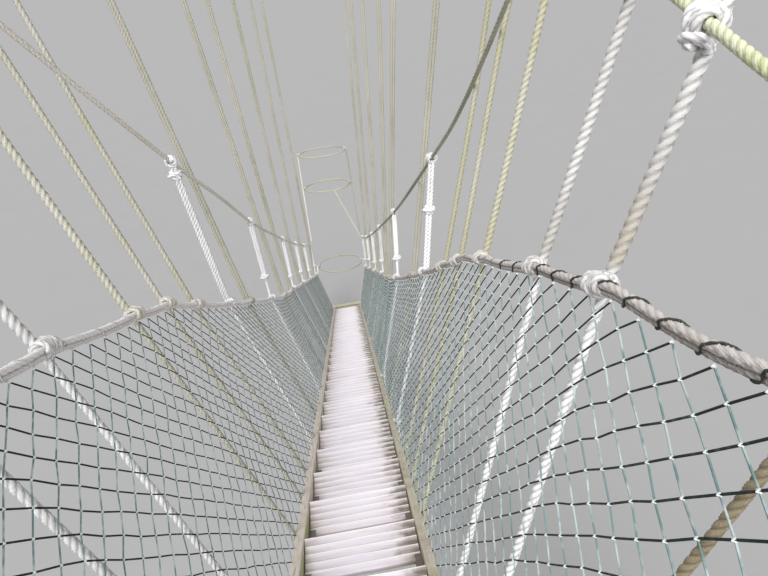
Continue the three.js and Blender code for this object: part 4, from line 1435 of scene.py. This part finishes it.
@dataclass
class Collars(Bridge):
    """End collars: two laid turns side by side, with a hitch on each side."""

    lay: Lay = Lay(0.0124, 0.085, 6, 7.0)
    apart: float = 0.0125
    skew: float = 0.0008
    wobble: float = 0.0012
    knot: Hitch = Hitch(0.0095, 3.2, (0.028, 0.033), (0.024, 0.027), tail=0.05)

    def build(self, material: Material) -> None:
        """Makes one piece per collar: circles of the ring's reach just above and below its level."""
        upper_y, lower_y = LAYOUT.upper_ring_y, LAYOUT.lower_ring_y
        high_z, low_z = LAYOUT.handrail(1, np.array(LAYOUT.hand_span))[:, 2]
        near_z = LAYOUT.rope(Line.APPROACH, 1, LAYOUT.approach_span[0])[2]
        collars = {
            "upper_handrail_collar": (upper_y, high_z),
            "upper_approach_collar": (upper_y, near_z),
            "lower_handrail_collar": (lower_y, low_z),
            "lower_guard_collar": (lower_y, LAYOUT.guard_ring_z),
            "lower_stay_collar": (lower_y, LAYOUT.stay_ring_z),
        }
        turn = np.linspace(0.0, math.tau, 181)
        for number, (node, (y, z)) in enumerate(collars.items()):
            skin = Skin()
            for level in (-1, 1):
                reach = LAYOUT.ring_reach - self.skew * level
                path = np.array([0.0, y, z]) + about(reach, turn, ACROSS, np.array([0.0, 1.0, 0.0]))
                path[:, 2] += level * self.apart * 0.55 + self.wobble * np.sin(5 * turn + number)
                self.lay.carry(skin, path, UP, 0.6 + 0.2 * wander(run_of(path), number, 0.4))
            for side in SIDES.values():
                centre = np.array([side * LAYOUT.ring_reach, y, z])
                self.knot.tie(skin, centre, (0.0, 1.0, 0.0), 0.3, number)
            self.hand_over(skin, node + "_turns", material, "old_rope", node)


# Studio


@dataclass(frozen=True)
class Viewpoint:
    """The camera: a level of 1.5 m square to the walkway, looking down its length."""

    focal_px: float = 597.0
    width_px: float = 768.0
    height_px: float = 576.0
    sensor: float = 36.0
    vanishing: Pair = (344.0, 246.0)
    roll: float = math.radians(9.0)
    stand: tuple[float, float, float] = (0.162, 2.43, 1.5)

    def build(self) -> None:
        """Camera whose axes come from where the walkway's direction vanishes and from the roll."""
        data = bpy.data.cameras.new("viewpoint")
        data.lens = self.sensor * self.focal_px / self.width_px
        data.sensor_width = self.sensor
        data.clip_start, data.clip_end = 0.05, 2000.0
        u, v = self.vanishing
        ahead = unit(np.array([u - self.width_px / 2, v - self.height_px / 2, self.focal_px]))
        level = np.array([math.cos(self.roll), -math.sin(self.roll), 0.0])
        right = unit(level - ahead * (level @ ahead))
        seen = np.stack([right, ahead, -np.cross(ahead, right)])
        a = LAYOUT.deck.slope
        turn = np.array([[1, 0, 0], [0, math.cos(a), math.sin(a)], [0, -math.sin(a), math.cos(a)]])
        place = np.eye(4)
        place[:3, :3] = turn @ (seen * [1.0, -1.0, -1.0])
        place[:3, 3] = LAYOUT.deck.on(*self.stand)
        camera = put("viewpoint", data)
        camera.matrix_world = Matrix(place.tolist())
        bpy.context.scene.camera = camera


@dataclass(frozen=True)
class Studio:
    """Pale floor, soft light from above and a surround as bright as the lit floor."""

    floor_z: float = -6.06
    floor_half: float = 900.0
    floor: Colour = (0.338, 0.338, 0.338)
    surround: Colour = (0.49, 0.49, 0.49)
    sun_strength: float = 2.75
    fill_strength: float = 3.2

    def build(self) -> None:
        """Makes the floor, the lights and the surround."""
        shader = Shader("floor")
        tone = shader.coats(self.floor, (shader.noise(0.6, 2.0), tuple(0.96 * c for c in self.floor)))
        data = bpy.data.meshes.new("floor")
        edge, z = self.floor_half, self.floor_z
        spots = [(-edge, -edge, z), (edge, -edge, z), (edge, edge, z), (-edge, edge, z)]
        data.from_pydata(spots, [], [(0, 1, 2, 3)])
        data.materials.append(shader.finish(tone, 0.9))
        put("floor", data)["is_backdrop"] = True
        self.sun("soft_sun", self.sun_strength, 28.0, (24.0, -20.0, 0.0))
        self.sun("soft_fill", self.fill_strength, 45.0, (80.0, 0.0, 8.0))
        world = bpy.data.worlds.new("surround")
        world.use_nodes = True
        ground = world.node_tree.nodes["Background"]
        ground.inputs[0].default_value = (*self.surround, 1.0)
        ground.inputs[1].default_value = 1.0
        bpy.context.scene.world = world
        bpy.context.scene.view_settings.view_transform = "Standard"

    def sun(self, name: str, strength: float, softness: float, turn: Colour) -> None:
        """A distant light, so many degrees wide and turned about X, Y and Z."""
        light = bpy.data.lights.new(name, "SUN")
        light.energy = strength
        light.angle = math.radians(softness)
        put(name, light).rotation_euler = tuple(math.radians(angle) for angle in turn)


# Rows: name, fresh, aged, groove (the colour of the painted shade in the grooves), stain, stain share and,
# where given, the share of that painted shade.
ROPES = [RopeFinish(*row) for row in (
    ("white_rope", (0.89, 0.885, 0.9), (0.5, 0.495, 0.485), (0.3, 0.28, 0.26), (0.4, 0.35, 0.28), 0.3, 0.8),
    ("old_rope", (0.62, 0.60, 0.58), (0.46, 0.435, 0.31), (0.23, 0.22, 0.14), (0.39, 0.40, 0.19), 0.5),
    ("brown_rope", (0.33, 0.265, 0.175), (0.215, 0.165, 0.1), (0.1, 0.075, 0.045), (0.24, 0.23, 0.12),
     0.5, 0.7),
    ("olive_rope", (0.46, 0.44, 0.385), (0.32, 0.31, 0.24), (0.17, 0.165, 0.12), (0.22, 0.24, 0.13), 0.4),
    ("handrail_rope_left", (0.95, 0.93, 0.94), (0.88, 0.84, 0.83), (0.64, 0.58, 0.55), (0.7, 0.64, 0.6), 0.3),
    ("handrail_rope_right", (0.68, 0.64, 0.62), (0.44, 0.4, 0.385), (0.26, 0.22, 0.19), (0.4, 0.34, 0.28),
     0.5),
    ("guard_rope_left", (0.78, 0.74, 0.68), (0.60, 0.555, 0.48), (0.40, 0.37, 0.31), (0.46, 0.43, 0.33), 0.3),
    ("guard_rope_right", (0.42, 0.41, 0.34), (0.25, 0.25, 0.18), (0.15, 0.15, 0.1), (0.2, 0.22, 0.11), 0.3),
    ("mossy_rope", (0.76, 0.76, 0.65), (0.60, 0.62, 0.38), (0.34, 0.36, 0.12), (0.42, 0.48, 0.16), 0.6, 0.65),
    ("lacing_cord", (0.05, 0.06, 0.05), (0.02, 0.028, 0.024), (0.01, 0.012, 0.01), (0.03, 0.05, 0.035), 0.4),
)]
TILT = LAYOUT.deck.slope
RAILS = {
    -1: TimberFinish("rail_left_timber", TILT, tan=(0.69, 0.61, 0.545), grey=(0.79, 0.72, 0.68)),
    1: TimberFinish("rail_right_timber", TILT, tan=(0.35, 0.305, 0.235), grey=(0.42, 0.39, 0.32)),
}


def corners() -> list[list[float]]:
    """The shown object's lowest and highest corners as plain lists."""
    return [[float(value) for value in corner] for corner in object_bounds()]


def main() -> None:
    """Builds the camera, the studio and every sub-assembly."""
    logging.basicConfig(level=logging.INFO, format="%(name)s %(message)s")
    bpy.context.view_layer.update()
    Viewpoint().build()
    Studio().build()
    ropes = {finish.name: finish.material() for finish in ROPES}
    rails = {side: finish.material() for side, finish in RAILS.items()}
    Treads().build(BoardFinish("tread_board").material())
    Timbers().build(rails, TimberFinish("beam_timber", 0.0, True).material())
    LongRopes().build(ropes)
    Slings().build(ropes)
    Nets().build(NetFinish("net_cord").material())
    Collars().build(ropes["old_rope"])


if __name__ == "__main__":
    main()
